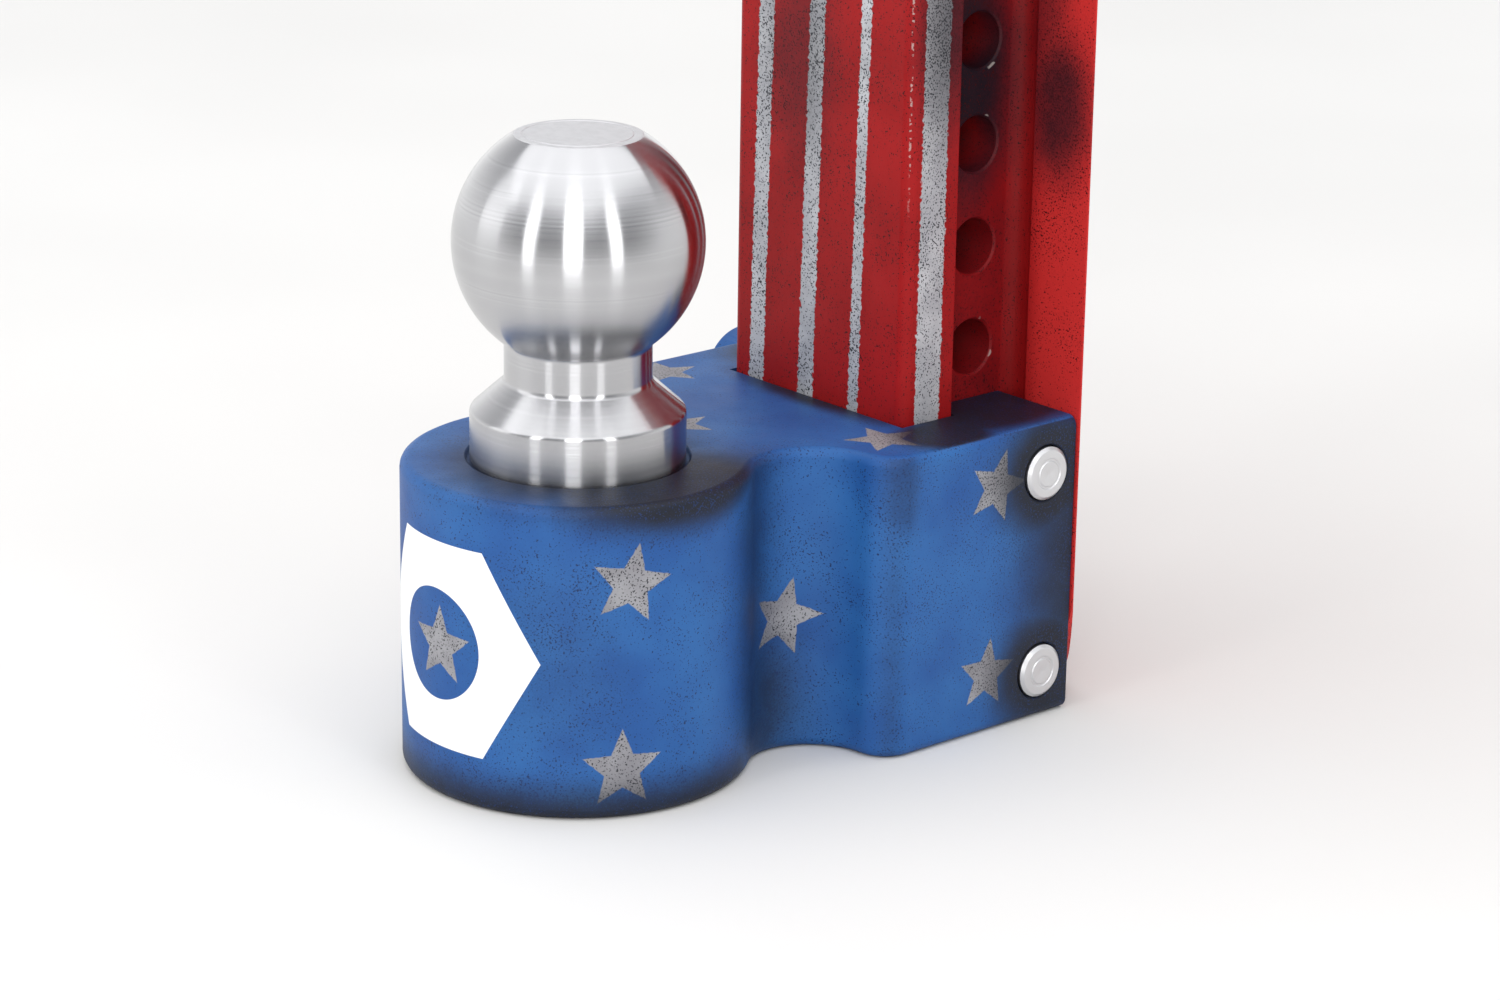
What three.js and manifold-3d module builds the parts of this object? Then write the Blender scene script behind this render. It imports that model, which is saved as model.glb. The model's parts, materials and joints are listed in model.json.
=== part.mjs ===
// Adjustable drop hitch with a tow ball: a square shank and slotted beam, a sliding ball mount held by
// two locking cross pins, and the bolted ball. Millimetres, +Z up. -Y points at the trailer, +Y at the
// vehicle. The origin is in the foot of the beam, under the row of pin holes.
import * as THREE from "three";
import { mergeVertices } from "three/addons/utils/BufferGeometryUtils.js";
import Module from "manifold-3d";

const wasm = await Module();
wasm.setup();

// ---- driving dimensions ----

// clearances
const slideGap = 0.4; // ball mount to beam
const pinGap = 0.3; // cross pin to its holes
const seatGap = 0.3; // faces that seat on each other
const lockGap = 0.3; // small parts of the locks

// beam section
const headWidth = 62.8;
const headDepth = 16.5;
const headEdge = 3.0; // rounding of the head's upright edges
const webWidth = 45.6;
const flangeWidth = 103.6;
const flangeDepth = 12.7;
const flangeSlope = 14.0; // how far each side of the flange tapers in towards the back
const coveWidth = 9.5; // groove beside the web in the flange's front face
const coveDepth = 3.8;
const footRound = 32.0; // lower corners of the flange, seen from behind
const topRound = 18.0; // upper corners of the flange
const headToPin = 13.6; // from the head's back face to the pin line
const pinToFlange = 10.0; // from the pin line to the flange's front face

// hole row
const holePitch = 25.4;
const holeCount = 9;
const lowestHole = 12.1; // above the foot
const topMargin = 13.3; // above the highest hole
const pinPitches = 2; // holes between the two pins

// shank
const shankSize = 50.8;
const shankLength = 215.0;
const shankEdge = 3.0;
const shankHole = 16.3;
const shankHoleToEnd = 67.0;
const gussetRound = 16.0;

// ball mount
const mountHeight = 75.5;
const mountWidth = 101.3;
const bossRadius = 41.7;
const ballReach = 74.3; // from the head's front face to the ball's axis
const waistWidth = 55.6;
const waistRound = 15.0;
const shoulderRound = 9.0;
const edgeRound = 2.6; // along the upper and lower outlines
const padDepth = 12.3; // lock pad on the far side
const padRadius = 12.0;

// cross pins
const pinDiameter = 13.3;
const pinProud = 1.0; // beyond the side of the ball mount
const pinChamfer = 0.8;

// tow ball
const ballDiameter = 58.74;
const ballFlat = 29.6; // diameter of the flat on top
const neckDiameter = 34.6;
const neckLength = 9.1;
const coneLength = 7.3;
const collarDiameter = 50.7;
const collarHeight = 11.3; // above the ball mount
const collarSink = 1.0;
const collarGap = 0.8;
const studDiameter = 31.75;
const nutAcross = 47.6;
const nutHeight = 18.3;
const washerDiameter = 50.3;
const washerHeight = 7.9;
const washerSplit = 4.0;
const studEnd = 2.8; // stud beyond the nut
const socketRecess = 6.0; // clear depth under the stud
const socketDiameter = 62.0;

// locks
const bodyDiameter = 18.4; // wide end, inside the pad
const barrelDiameter = 14.6; // narrow end, inside the ear
const bodyInset = 1.5; // outer face inside the pad's face
const barrelLength = 12.6;
const spigotDiameter = 9.0; // pressed into the cross pin
const spigotLength = 6.0;
const capStep = 3.0; // length of the reduced end that the dust cap grips
const capWall = 1.6;
const sealSection = 1.2;
const sealPlace = 4.9; // from the lock body's outer face to the seal
const plugDiameter = 7.6;
const plugOffset = 1.8; // plug axis above the pin axis
const plugInset = 0.8;
const plugTang = 2.2;
const camReach = 8.8; // plug axis to cam tip
const camWidth = 5.0;
const camDepth = 2.6;
const camSpace = 4.0; // length of the chamber that the cam turns in
const chamberFloor = 5.9; // solid end of the body beyond the chamber
const clipDepth = 0.7;
const clipHeight = 1.0;
const keywayWidth = 1.4;
const waferCount = 3;
const waferPitch = 2.2;
const waferDepth = 0.8;
const waferWidth = 3.6;
const waferRim = 0.8; // wafer left above and below its key window
const waferStep = 0.4; // each wafer's window starts this much higher than the last

// roundness of the faceted curves
const arcStep = Math.PI / 15;
const holeSides = 20;
const ballSides = 32;

// ---- places worked out from them ----

const beamHeight = lowestHole + (holeCount - 1) * holePitch + topMargin;
const headBack = -headToPin;
const headFront = headBack - headDepth;
const flangeFront = pinToFlange;
const flangeBack = flangeFront + flangeDepth;
const shankEnd = flangeBack + shankLength;
const shankCentre = beamHeight - shankSize / 2;
const ballY = headFront - ballReach;
const earBack = flangeFront - slideGap;
const holeRadius = pinDiameter / 2 + pinGap;
const pinHeights = [lowestHole, lowestHole + pinPitches * holePitch];
const padFace = -mountWidth / 2 - padDepth;
const pinTip = mountWidth / 2 + pinProud;

const collarTop = mountHeight + collarHeight;
const neckFoot = collarTop + coneLength;
const neckTop = neckFoot + neckLength;
const ballRadius = ballDiameter / 2;
const ballCentre = neckTop + Math.sqrt(ballRadius ** 2 - (neckDiameter / 2) ** 2);
const collarSeat = mountHeight - collarSink;
const recessTop = socketRecess + studEnd + nutHeight + washerHeight + 2 * seatGap;
const washerFoot = recessTop - seatGap - washerHeight;
const nutFoot = washerFoot - seatGap - nutHeight;
const studRadius = studDiameter / 2;

const bodyRadius = bodyDiameter / 2;
const barrelRadius = barrelDiameter / 2;
const seatStep = -flangeWidth / 2 - slideGap; // where the pad may pass beside the flange
const bodyStep = seatStep - slideGap;
const bodyOuter = padFace + bodyInset;
const bodyInner = bodyStep + barrelLength;
const chamberInner = bodyInner - chamberFloor;
const chamberOuter = chamberInner - camSpace;
const plugOuter = bodyOuter + plugInset;
const plugInner = chamberOuter - lockGap;
const camFront = chamberInner - lockGap * 2;
const clipCentre = plugInner - 1.4 - clipDepth;
const waferHalf = Math.sqrt((plugDiameter / 2 - lockGap / 2) ** 2 - (waferWidth / 2) ** 2);

// ---- helpers ----

// A closed three.js geometry as a solid that can be cut and joined.
function solidOf(geometry) {
  const bare = geometry.index ? geometry.toNonIndexed() : geometry.clone();
  bare.deleteAttribute("normal");
  bare.deleteAttribute("uv");
  const merged = mergeVertices(bare, 1e-4);
  const mesh = new wasm.Mesh({
    numProp: 3,
    vertProperties: new Float32Array(merged.attributes.position.array),
    triVerts: new Uint32Array(merged.index.array),
  });
  return new wasm.Manifold(mesh);
}

// A solid as a three.js geometry.
function geometryOf(solid) {
  const mesh = solid.getMesh();
  const geometry = new THREE.BufferGeometry();
  geometry.setAttribute("position", new THREE.BufferAttribute(new Float32Array(mesh.vertProperties), 3));
  geometry.setIndex(new THREE.BufferAttribute(new Uint32Array(mesh.triVerts), 1));
  const flat = geometry.toNonIndexed();
  flat.computeVertexNormals();
  return flat;
}

// One geometry less the others.
function cut(geometry, tools) {
  return geometryOf(tools.reduce((left, tool) => left.subtract(solidOf(tool)), solidOf(geometry)));
}

// Several geometries as one.
function join(geometries) {
  return geometryOf(geometries.map(solidOf).reduce((whole, next) => whole.add(next)));
}

function box(low, high) {
  const size = high.map((value, i) => value - low[i]);
  const centre = high.map((value, i) => (value + low[i]) / 2);
  return new THREE.BoxGeometry(...size).translate(...centre);
}

// A round bar along X between two places.
function barX(radius, from, to, y, z, sides = holeSides) {
  const bar = new THREE.CylinderGeometry(radius, radius, Math.abs(to - from), sides);
  return bar.rotateZ(Math.PI / 2).translate((from + to) / 2, y, z);
}

// A round bar along Z between two heights.
function barZ(radius, from, to, y, sides = holeSides) {
  const bar = new THREE.CylinderGeometry(radius, radius, to - from, sides);
  return bar.rotateX(Math.PI / 2).translate(0, y, (from + to) / 2);
}

// An outline in X and Y, raised along Z.
function prism(points, from, to) {
  const options = { depth: to - from, bevelEnabled: false };
  return new THREE.ExtrudeGeometry(new THREE.Shape(points), options).translate(0, 0, from);
}

// A profile of [radius, height] pairs turned about Z.
function turned(profile, sides) {
  const points = profile.map(([r, z]) => new THREE.Vector2(r, z));
  return new THREE.LatheGeometry(points, sides).rotateX(Math.PI / 2);
}

// The same about X, where each pair is [radius, x] and x falls along the list.
function turnedX(profile, y, z, sides = holeSides) {
  const points = profile.map(([r, x]) => new THREE.Vector2(r, -x));
  return new THREE.LatheGeometry(points, sides).rotateZ(Math.PI / 2).translate(0, y, z);
}

// Stands a prism up, so that its outline lies in Y and Z and its length runs along X.
function upright(geometry) {
  return geometry.rotateX(Math.PI / 2).rotateZ(Math.PI / 2);
}

// Points of an arc, ends included, anticlockwise when `to` is larger than `from`.
function arc(x, y, radius, from, to) {
  const count = Math.max(2, Math.ceil(Math.abs(to - from) / arcStep));
  return Array.from({ length: count + 1 }, (_, i) => {
    const angle = from + ((to - from) * i) / count;
    return new THREE.Vector2(x + radius * Math.cos(angle), y + radius * Math.sin(angle));
  });
}

// An outline from its right half, given front to back.
function mirrored(half) {
  const left = half.map((p) => new THREE.Vector2(-p.x, p.y)).reverse();
  return [...half, ...left];
}

function rectangle(halfWidth, front, back) {
  return [
    new THREE.Vector2(-halfWidth, front),
    new THREE.Vector2(halfWidth, front),
    new THREE.Vector2(halfWidth, back),
    new THREE.Vector2(-halfWidth, back),
  ];
}

const finish = {
  redPaint: { color: 0xb02a2c, roughness: 0.45, metalness: 0.15 },
  bluePaint: { color: 0x3f6da8, roughness: 0.45, metalness: 0.15 },
  stainless: { color: 0xc9cacb, roughness: 0.18, metalness: 1.0 },
  zinc: { color: 0xb9bcc0, roughness: 0.35, metalness: 0.9 },
  brass: { color: 0xb08d4a, roughness: 0.35, metalness: 0.9 },
  rubber: { color: 0x191a1b, roughness: 0.85, metalness: 0.0 },
};

const hitch = new THREE.Group();

function add(name, geometry, surface) {
  const mesh = new THREE.Mesh(geometry, new THREE.MeshStandardMaterial(surface));
  mesh.name = name;
  hitch.add(mesh);
}

// ---- drawbar ----

// Right half of the beam's section, from the front to the back.
function beamHalf() {
  const head = headWidth / 2;
  const web = webWidth / 2;
  const flange = flangeWidth / 2;
  const coveRadius = ((coveWidth / 2) ** 2 + coveDepth ** 2) / (2 * coveDepth);
  const coveY = flangeFront + coveDepth - coveRadius;
  const coveHalf = Math.asin(coveWidth / 2 / coveRadius);
  const coveAngle = coveDepth > coveRadius ? Math.PI - coveHalf : coveHalf;
  return [
    ...arc(head - headEdge, headFront + headEdge, headEdge, -Math.PI / 2, 0),
    new THREE.Vector2(head, headBack),
    new THREE.Vector2(web, headBack),
    ...arc(web + coveWidth / 2, coveY, coveRadius, Math.PI / 2 + coveAngle, Math.PI / 2 - coveAngle),
    new THREE.Vector2(flange, flangeFront),
    new THREE.Vector2(flange - flangeSlope, flangeBack),
  ];
}

// Takes the corners off the flange on both sides: `corner` is the height of the end, `direction` the way into the beam.
function cornerTools(round, corner, direction) {
  const reach = flangeWidth / 2;
  const margin = 5;
  return [1, -1].map((side) => {
    const points = arc(reach - round, round, round, -Math.PI / 2, 0);
    points.push(new THREE.Vector2(reach + margin, round));
    points.push(new THREE.Vector2(reach + margin, -margin));
    points.push(new THREE.Vector2(reach - round, -margin));
    const placed = points.map((p) => new THREE.Vector2(side * p.x, corner + direction * p.y));
    const outline = side * direction > 0 ? placed.reverse() : placed;
    const depth = flangeDepth + margin;
    return prism(outline.reverse(), 0, depth)
      .rotateX(Math.PI / 2)
      .translate(0, flangeFront + coveDepth + depth, 0)
      .translate(0, -coveDepth, 0);
  });
}

// The square bar, its chamfered end and the rounded gusset under it.
function shank() {
  const half = shankSize / 2;
  const low = -half + shankEdge;
  const high = half - shankEdge;
  const section = [
    ...arc(high, low, shankEdge, -Math.PI / 2, 0),
    ...arc(high, high, shankEdge, 0, Math.PI / 2),
    ...arc(low, high, shankEdge, Math.PI / 2, Math.PI),
    ...arc(low, low, shankEdge, Math.PI, 1.5 * Math.PI),
  ];
  const sunk = flangeDepth / 2;
  const endChamfer = shankEdge / 2;
  const options = {
    depth: shankLength + sunk - 2 * endChamfer,
    bevelEnabled: true,
    bevelThickness: endChamfer,
    bevelSize: endChamfer,
    bevelOffset: -endChamfer,
    bevelSegments: 1,
  };
  const bar = new THREE.ExtrudeGeometry(new THREE.Shape(section), options)
    .rotateX(-Math.PI / 2)
    .translate(0, flangeBack - sunk + endChamfer, shankCentre);
  const corner = arc(flangeBack + gussetRound, -gussetRound, gussetRound, Math.PI, Math.PI / 2);
  const profile = [
    ...corner,
    new THREE.Vector2(flangeBack + gussetRound, half / 2),
    new THREE.Vector2(flangeBack - sunk, half / 2),
    new THREE.Vector2(flangeBack - sunk, -gussetRound),
  ];
  const width = shankSize - 2 * shankEdge;
  const gusset = upright(prism(profile.reverse(), 0, width));
  return [bar, gusset.translate(-width / 2, 0, beamHeight - shankSize)];
}

function makeDrawbar() {
  const beam = prism(mirrored(beamHalf()), 0, beamHeight);
  const trimmed = cut(beam, [...cornerTools(footRound, 0, 1), ...cornerTools(topRound, beamHeight, -1)]);
  const bar = join([trimmed, ...shank()]);
  const reach = flangeWidth;
  const holes = Array.from({ length: holeCount }, (_, i) =>
    barX(holeRadius, -reach, reach, 0, lowestHole + i * holePitch),
  );
  const hole = barX(shankHole / 2, -reach, reach, shankEnd - shankHoleToEnd, shankCentre);
  add("drawbar", cut(bar, [...holes, hole]), finish.redPaint);
}

// ---- ball mount ----

// Right half of the outline: boss, waist, shoulder and straight side, run on past the back.
function mountHalf(back) {
  const side = mountWidth / 2;
  const waistX = waistWidth / 2 + waistRound;
  const waistY = ballY + Math.sqrt((bossRadius + waistRound) ** 2 - waistX ** 2);
  const shoulderX = side - shoulderRound;
  const across = waistX - shoulderX;
  const shoulderY = waistY + Math.sqrt((waistRound + shoulderRound) ** 2 - across ** 2);
  const toBoss = Math.atan2(ballY - waistY, -waistX);
  const toShoulder = Math.atan2(shoulderY - waistY, shoulderX - waistX);
  return [
    ...arc(0, ballY, bossRadius, -Math.PI / 2, toBoss + Math.PI),
    ...arc(waistX, waistY, waistRound, toBoss + 2 * Math.PI, toShoulder).slice(1),
    ...arc(shoulderX, shoulderY, shoulderRound, toShoulder - Math.PI, 0).slice(1),
    new THREE.Vector2(side, back),
  ];
}

// The raised pad round both locks, from inside the ear to its outer face.
function lockPad() {
  const low = pinHeights[0];
  const high = pinHeights[1];
  const points = [...arc(0, high, padRadius, 0, Math.PI), ...arc(0, low, padRadius, Math.PI, 2 * Math.PI)];
  const inside = padDepth + edgeRound * 2;
  return upright(prism(points, 0, inside)).translate(padFace, 0, 0);
}

// The groove that the cam swings into, on the front side of a lock's bore.
function camGroove(z) {
  const length = camSpace + 2 * lockGap;
  const half = arc(0, 0, camReach + lockGap, Math.PI / 2, 1.5 * Math.PI);
  return upright(prism(half, 0, length)).translate(chamberOuter - lockGap, 0, z + plugOffset);
}

function makeBallMount() {
  const past = edgeRound * 4;
  const outline = new THREE.Shape(mirrored(mountHalf(earBack + past)));
  const block = new THREE.ExtrudeGeometry(outline, {
    depth: mountHeight - 2 * edgeRound,
    bevelEnabled: true,
    bevelThickness: edgeRound,
    bevelSize: edgeRound,
    bevelOffset: -edgeRound,
    bevelSegments: 2,
  }).translate(0, 0, edgeRound);
  const low = -past;
  const high = mountHeight + past;
  const pocket = rectangle(headWidth / 2 + slideGap, headFront - slideGap, headBack + slideGap);
  const channel = rectangle(webWidth / 2 + slideGap, headBack, earBack + 3 * past);
  const tools = [
    prism(rectangle(-seatStep, earBack, earBack + 3 * past), low, high),
    prism(pocket, low, high),
    prism(channel, low, high),
    barZ(studRadius + collarGap, low, high, ballY, ballSides),
    barZ(collarDiameter / 2 + collarGap, collarSeat - seatGap, high, ballY, ballSides),
    barZ(socketDiameter / 2, low, recessTop, ballY, ballSides),
  ];
  for (const z of pinHeights) {
    tools.push(barX(holeRadius, -mountWidth, mountWidth, 0, z));
    tools.push(barX(bodyRadius + pinGap, padFace - past, seatStep, 0, z));
    tools.push(barX(barrelRadius + pinGap, seatStep - past, bodyInner + slideGap, 0, z));
    tools.push(camGroove(z));
  }
  add("ball_mount", cut(join([geometryOf(solidOf(block)), lockPad()]), tools), finish.bluePaint);
}

// ---- tow ball and its fastening ----

function makeTowBall() {
  const flatHeight = Math.sqrt(ballRadius ** 2 - (ballFlat / 2) ** 2);
  const start = -Math.asin(Math.sqrt(1 - (neckDiameter / ballDiameter) ** 2));
  const end = Math.asin(flatHeight / ballRadius);
  const steps = 14;
  const profile = [
    [0, nutFoot - studEnd],
    [studRadius - 1.5, nutFoot - studEnd],
    [studRadius, nutFoot - studEnd + 1.5],
    [studRadius, collarSeat],
    [collarDiameter / 2, collarSeat],
    [collarDiameter / 2, collarTop],
    [neckDiameter / 2, neckFoot],
  ];
  for (let i = 0; i <= steps; i += 1) {
    const angle = start + ((end - start) * i) / steps;
    profile.push([ballRadius * Math.cos(angle), ballCentre + ballRadius * Math.sin(angle)]);
  }
  profile.push([0, ballCentre + flatHeight]);
  add("tow_ball", turned(profile, ballSides).translate(0, ballY, 0), finish.stainless);
}

// A split spring washer round the stud.
function makeLockWasher() {
  const inner = studRadius + seatGap * 2;
  const outer = washerDiameter / 2;
  const open = washerSplit / 2 / inner;
  const points = [
    ...arc(0, 0, outer, open, 2 * Math.PI - open),
    ...arc(0, 0, inner, 2 * Math.PI - open, open),
  ];
  const ring = prism(points, washerFoot, washerFoot + washerHeight).translate(0, ballY, 0);
  add("ball_lock_washer", ring, finish.zinc);
}

function makeBallNut() {
  const corner = nutAcross / 2 / Math.cos(Math.PI / 6);
  const blank = barZ(corner, nutFoot, nutFoot + nutHeight, ballY, 6);
  const cone = turned(
    [
      [0, nutFoot - 0.1],
      [nutAcross / 2 - 0.6, nutFoot - 0.1],
      [corner + 2.4, nutFoot + 3.0],
      [corner + 2.4, nutFoot + nutHeight + 0.1],
      [0, nutFoot + nutHeight + 0.1],
    ],
    ballSides,
  ).translate(0, ballY, 0);
  const shaped = geometryOf(solidOf(blank).intersect(solidOf(cone)));
  const bore = barZ(studRadius + seatGap, nutFoot - 1, nutFoot + nutHeight + 1, ballY, ballSides);
  add("ball_nut", cut(shaped, [bore]), finish.zinc);
}

// ---- cross pins and their locks ----

function makePinShaft(side, z) {
  const radius = pinDiameter / 2;
  const end = bodyInner + lockGap;
  const bore = spigotDiameter / 2 + lockGap;
  const profile = [
    [0, pinTip],
    [radius - pinChamfer, pinTip],
    [radius, pinTip - pinChamfer],
    [radius, end],
    [bore, end],
    [bore, end + spigotLength],
    [0, end + spigotLength],
  ];
  add(side + "_pin_shaft", turnedX(profile, 0, z), finish.stainless);
}

// The turned body that is pressed into the pin's end and holds the key plug off centre.
function makeLockBody(side, z) {
  const lockZ = z + plugOffset;
  const sealX = bodyOuter + sealPlace;
  const sealFloor = bodyRadius - sealSection - lockGap;
  const capSeat = bodyRadius - capWall;
  const past = 2;
  const profile = [
    [0, bodyInner + spigotLength - lockGap],
    [spigotDiameter / 2, bodyInner + spigotLength - lockGap],
    [spigotDiameter / 2, bodyInner],
    [barrelRadius, bodyInner],
    [barrelRadius, bodyStep],
    [bodyRadius, bodyStep],
    [bodyRadius, sealX + sealSection],
    [sealFloor, sealX + sealSection],
    [sealFloor, sealX - sealSection],
    [bodyRadius, sealX - sealSection],
    [bodyRadius, bodyOuter + capStep],
    [capSeat, bodyOuter + capStep],
    [capSeat, bodyOuter],
    [0, bodyOuter],
  ];
  const reach = camReach + past;
  const half = camWidth / 2 + lockGap * 2;
  const tools = [
    barX(plugOffset + half, chamberOuter, chamberInner, 0, z),
    box([chamberOuter, -reach, z - reach], [chamberInner, half, lockZ + half]),
    barX(plugDiameter / 2 + lockGap, bodyOuter - past, chamberInner, 0, lockZ),
    barX(clipOuter() + lockGap, clipCentre - clipDepth, clipCentre + clipDepth, 0, lockZ),
  ];
  add(side + "_lock_body", cut(turnedX(profile, 0, z), tools), finish.zinc);
}

// Outer radius of the plug's clip.
function clipOuter() {
  return plugDiameter / 2 + lockGap + clipHeight / 2;
}

// Places of the wafers along the plug, counted from its keyed face.
function waferPlaces() {
  return Array.from({ length: waferCount }, (_, i) => plugOuter + (i + 1) * waferPitch);
}

function makeLockPlug(side, z) {
  const lockZ = z + plugOffset;
  const radius = plugDiameter / 2;
  const groove = clipOuter() - clipHeight - lockGap;
  const profile = [
    [0, plugInner],
    [radius, plugInner],
    [radius, clipCentre + clipDepth],
    [groove, clipCentre + clipDepth],
    [groove, clipCentre - clipDepth],
    [radius, clipCentre - clipDepth],
    [radius - 0.01, plugOuter],
    [0, plugOuter],
  ];
  const half = plugTang / 2;
  const tang = box([plugInner - 1, -half, lockZ - half], [camFront, half, lockZ + half]);
  const whole = join([turnedX(profile, 0, lockZ), tang]);
  const deepest = waferPlaces()[waferCount - 1] + waferDepth;
  const keyHalf = waferHalf - waferRim;
  const key = box(
    [plugOuter - 1, -keywayWidth / 2, lockZ - keyHalf],
    [deepest, keywayWidth / 2, lockZ + keyHalf],
  );
  const slots = waferPlaces().map((x) =>
    box(
      [x - waferDepth / 2 - lockGap, -waferWidth / 2 - lockGap / 2, lockZ - radius - 1],
      [x + waferDepth / 2 + lockGap, waferWidth / 2 + lockGap / 2, lockZ + waferHalf + lockGap / 2],
    ),
  );
  add(side + "_lock_plug", cut(whole, [key, ...slots]), finish.brass);
}

function makeWafers(side, z) {
  const lockZ = z + plugOffset;
  waferPlaces().forEach((x, i) => {
    const low = [x - waferDepth / 2, -waferWidth / 2, lockZ - waferHalf];
    const high = [x + waferDepth / 2, waferWidth / 2, lockZ + waferHalf];
    const step = waferStep * i;
    const window = box(
      [x - waferDepth, -keywayWidth / 2 - lockGap / 2, lockZ - waferHalf + waferRim + step],
      [x + waferDepth, keywayWidth / 2 + lockGap / 2, lockZ + waferHalf - waferRim],
    );
    add(side + "_wafer_" + (i + 1), cut(box(low, high), [window]), finish.brass);
  });
}

// The finger that the plug swings out of the pin into the groove in the ball mount.
function makeLockCam(side, z) {
  const lockZ = z + plugOffset;
  const back = camFront - camDepth;
  const half = camWidth / 2;
  const finger = [...arc(0, 0, half, 0, Math.PI), ...arc(0, -camReach + half, half, Math.PI, 2 * Math.PI)];
  const plate = upright(prism(finger, 0, camDepth));
  const grip = plugTang / 2 + lockGap;
  const square = box([back - 1, -grip, lockZ - grip], [camFront + 1, grip, lockZ + grip]);
  add(side + "_lock_cam", cut(plate.translate(back, 0, lockZ), [square]), finish.zinc);
}

// The open ring that keeps the plug in its body.
function makePlugClip(side, z) {
  const outer = clipOuter();
  const inner = outer - clipHeight;
  const open = 0.5;
  const points = [
    ...arc(0, 0, outer, open, 2 * Math.PI - open),
    ...arc(0, 0, inner, 2 * Math.PI - open, open),
  ];
  const ring = upright(prism(points, 0, clipDepth));
  add(side + "_plug_clip", ring.translate(clipCentre - clipDepth / 2, 0, z + plugOffset), finish.zinc);
}

function makeSeal(side, z) {
  const radius = bodyRadius - sealSection / 2;
  const ring = new THREE.TorusGeometry(radius, sealSection / 2, 8, holeSides);
  add(side + "_lock_seal", ring.rotateY(Math.PI / 2).translate(bodyOuter + sealPlace, 0, z), finish.rubber);
}

// The rubber cup over the keyhole, with a pull lip on its rim.
function makeDustCap(side, z) {
  const inner = bodyRadius - capWall + lockGap;
  const mouth = bodyOuter + capStep - lockGap;
  const profile = [
    [0, bodyOuter - lockGap],
    [inner, bodyOuter - lockGap],
    [inner, mouth],
    [bodyRadius - 0.4, mouth],
    [bodyRadius, mouth - 0.5],
    [bodyRadius, bodyOuter - lockGap - capWall + 0.6],
    [bodyRadius - 0.6, bodyOuter - lockGap - capWall],
    [0, bodyOuter - lockGap - capWall],
  ];
  add(side + "_dust_cap", turnedX(profile, 0, z), finish.rubber);
}

makeDrawbar();
makeBallMount();
makeTowBall();
makeLockWasher();
makeBallNut();
["lower", "upper"].forEach((side, i) => {
  const z = pinHeights[i];
  makePinShaft(side, z);
  makeLockBody(side, z);
  makeLockPlug(side, z);
  makeWafers(side, z);
  makeLockCam(side, z);
  makePlugClip(side, z);
  makeSeal(side, z);
  makeDustCap(side, z);
});

export default hitch;
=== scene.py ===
"""Adjustable drop hitch with a tow ball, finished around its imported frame.

The hitch stands on its foot. A red beam with a row of pin holes carries a blue ball mount, held by two
locking cross pins, and the turned tow ball is bolted through the mount. Sizes are in millimetres and
meshes in metres, in the frame of the CAD model: +Z up, -Y towards the trailer.
"""

from __future__ import annotations

import json
import logging
import math
from dataclasses import dataclass
from enum import Enum
from typing import Optional, Sequence

import bmesh
import bpy
from mathutils import Matrix, Vector

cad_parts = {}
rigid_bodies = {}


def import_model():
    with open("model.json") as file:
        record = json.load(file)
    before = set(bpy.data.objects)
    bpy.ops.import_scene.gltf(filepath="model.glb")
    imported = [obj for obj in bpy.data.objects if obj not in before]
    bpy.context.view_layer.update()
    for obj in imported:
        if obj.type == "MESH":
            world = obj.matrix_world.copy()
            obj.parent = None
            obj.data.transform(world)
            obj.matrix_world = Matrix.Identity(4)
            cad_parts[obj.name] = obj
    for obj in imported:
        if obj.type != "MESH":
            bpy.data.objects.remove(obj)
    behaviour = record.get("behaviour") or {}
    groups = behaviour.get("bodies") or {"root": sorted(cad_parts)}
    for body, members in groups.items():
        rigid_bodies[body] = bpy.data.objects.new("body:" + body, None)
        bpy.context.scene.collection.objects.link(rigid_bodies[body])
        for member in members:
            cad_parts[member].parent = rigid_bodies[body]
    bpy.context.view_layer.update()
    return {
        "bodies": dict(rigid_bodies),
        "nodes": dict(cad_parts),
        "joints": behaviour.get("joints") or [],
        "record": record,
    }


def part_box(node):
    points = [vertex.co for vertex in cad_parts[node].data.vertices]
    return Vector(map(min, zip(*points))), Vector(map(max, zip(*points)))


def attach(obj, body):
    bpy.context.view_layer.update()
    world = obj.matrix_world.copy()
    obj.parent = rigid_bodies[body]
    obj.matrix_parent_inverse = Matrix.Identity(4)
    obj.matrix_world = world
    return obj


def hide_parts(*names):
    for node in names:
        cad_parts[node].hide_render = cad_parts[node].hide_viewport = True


LOG = logging.getLogger("hitch")

MM = 0.001
ARC_STEP = math.radians(3.0)
TURNED_SIDES = 96
HOLE_SIDES = 64
SHARP_EDGE = math.radians(28.0)
BOX_SLACK = 0.6 * MM
# Shapes on a face that they do not belong to are pushed this far out of sight, in millimetres
OUT_OF_SIGHT = 60.0
STAR_RATIO = 0.45

# Kinds of node that the trees use most
MATH = "ShaderNodeMath"
VECTOR = "ShaderNodeVectorMath"
MIX = "ShaderNodeMixRGB"
COMBINE = "ShaderNodeCombineXYZ"
SEPARATE = "ShaderNodeSeparateXYZ"
NOISE = "ShaderNodeTexNoise"
STEP = "ShaderNodeMapRange"
# A step that eases in and out; it falls where its first bound is the larger
SMOOTH = {"interpolation_type": "SMOOTHSTEP"}

Point = tuple[float, float]
Input = object
Place = tuple[float, float, float]
Patch = tuple[Place, Place, float]
Star = tuple[float, float, float, float]
Piece = bpy.types.Object
Material = bpy.types.Material
Node = bpy.types.Node
Tree = bpy.types.NodeTree


class Side(Enum):
    """The two cross pins."""

    LOWER = "lower"
    UPPER = "upper"


# ---- sizes shared by the sub-assemblies ----


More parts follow.
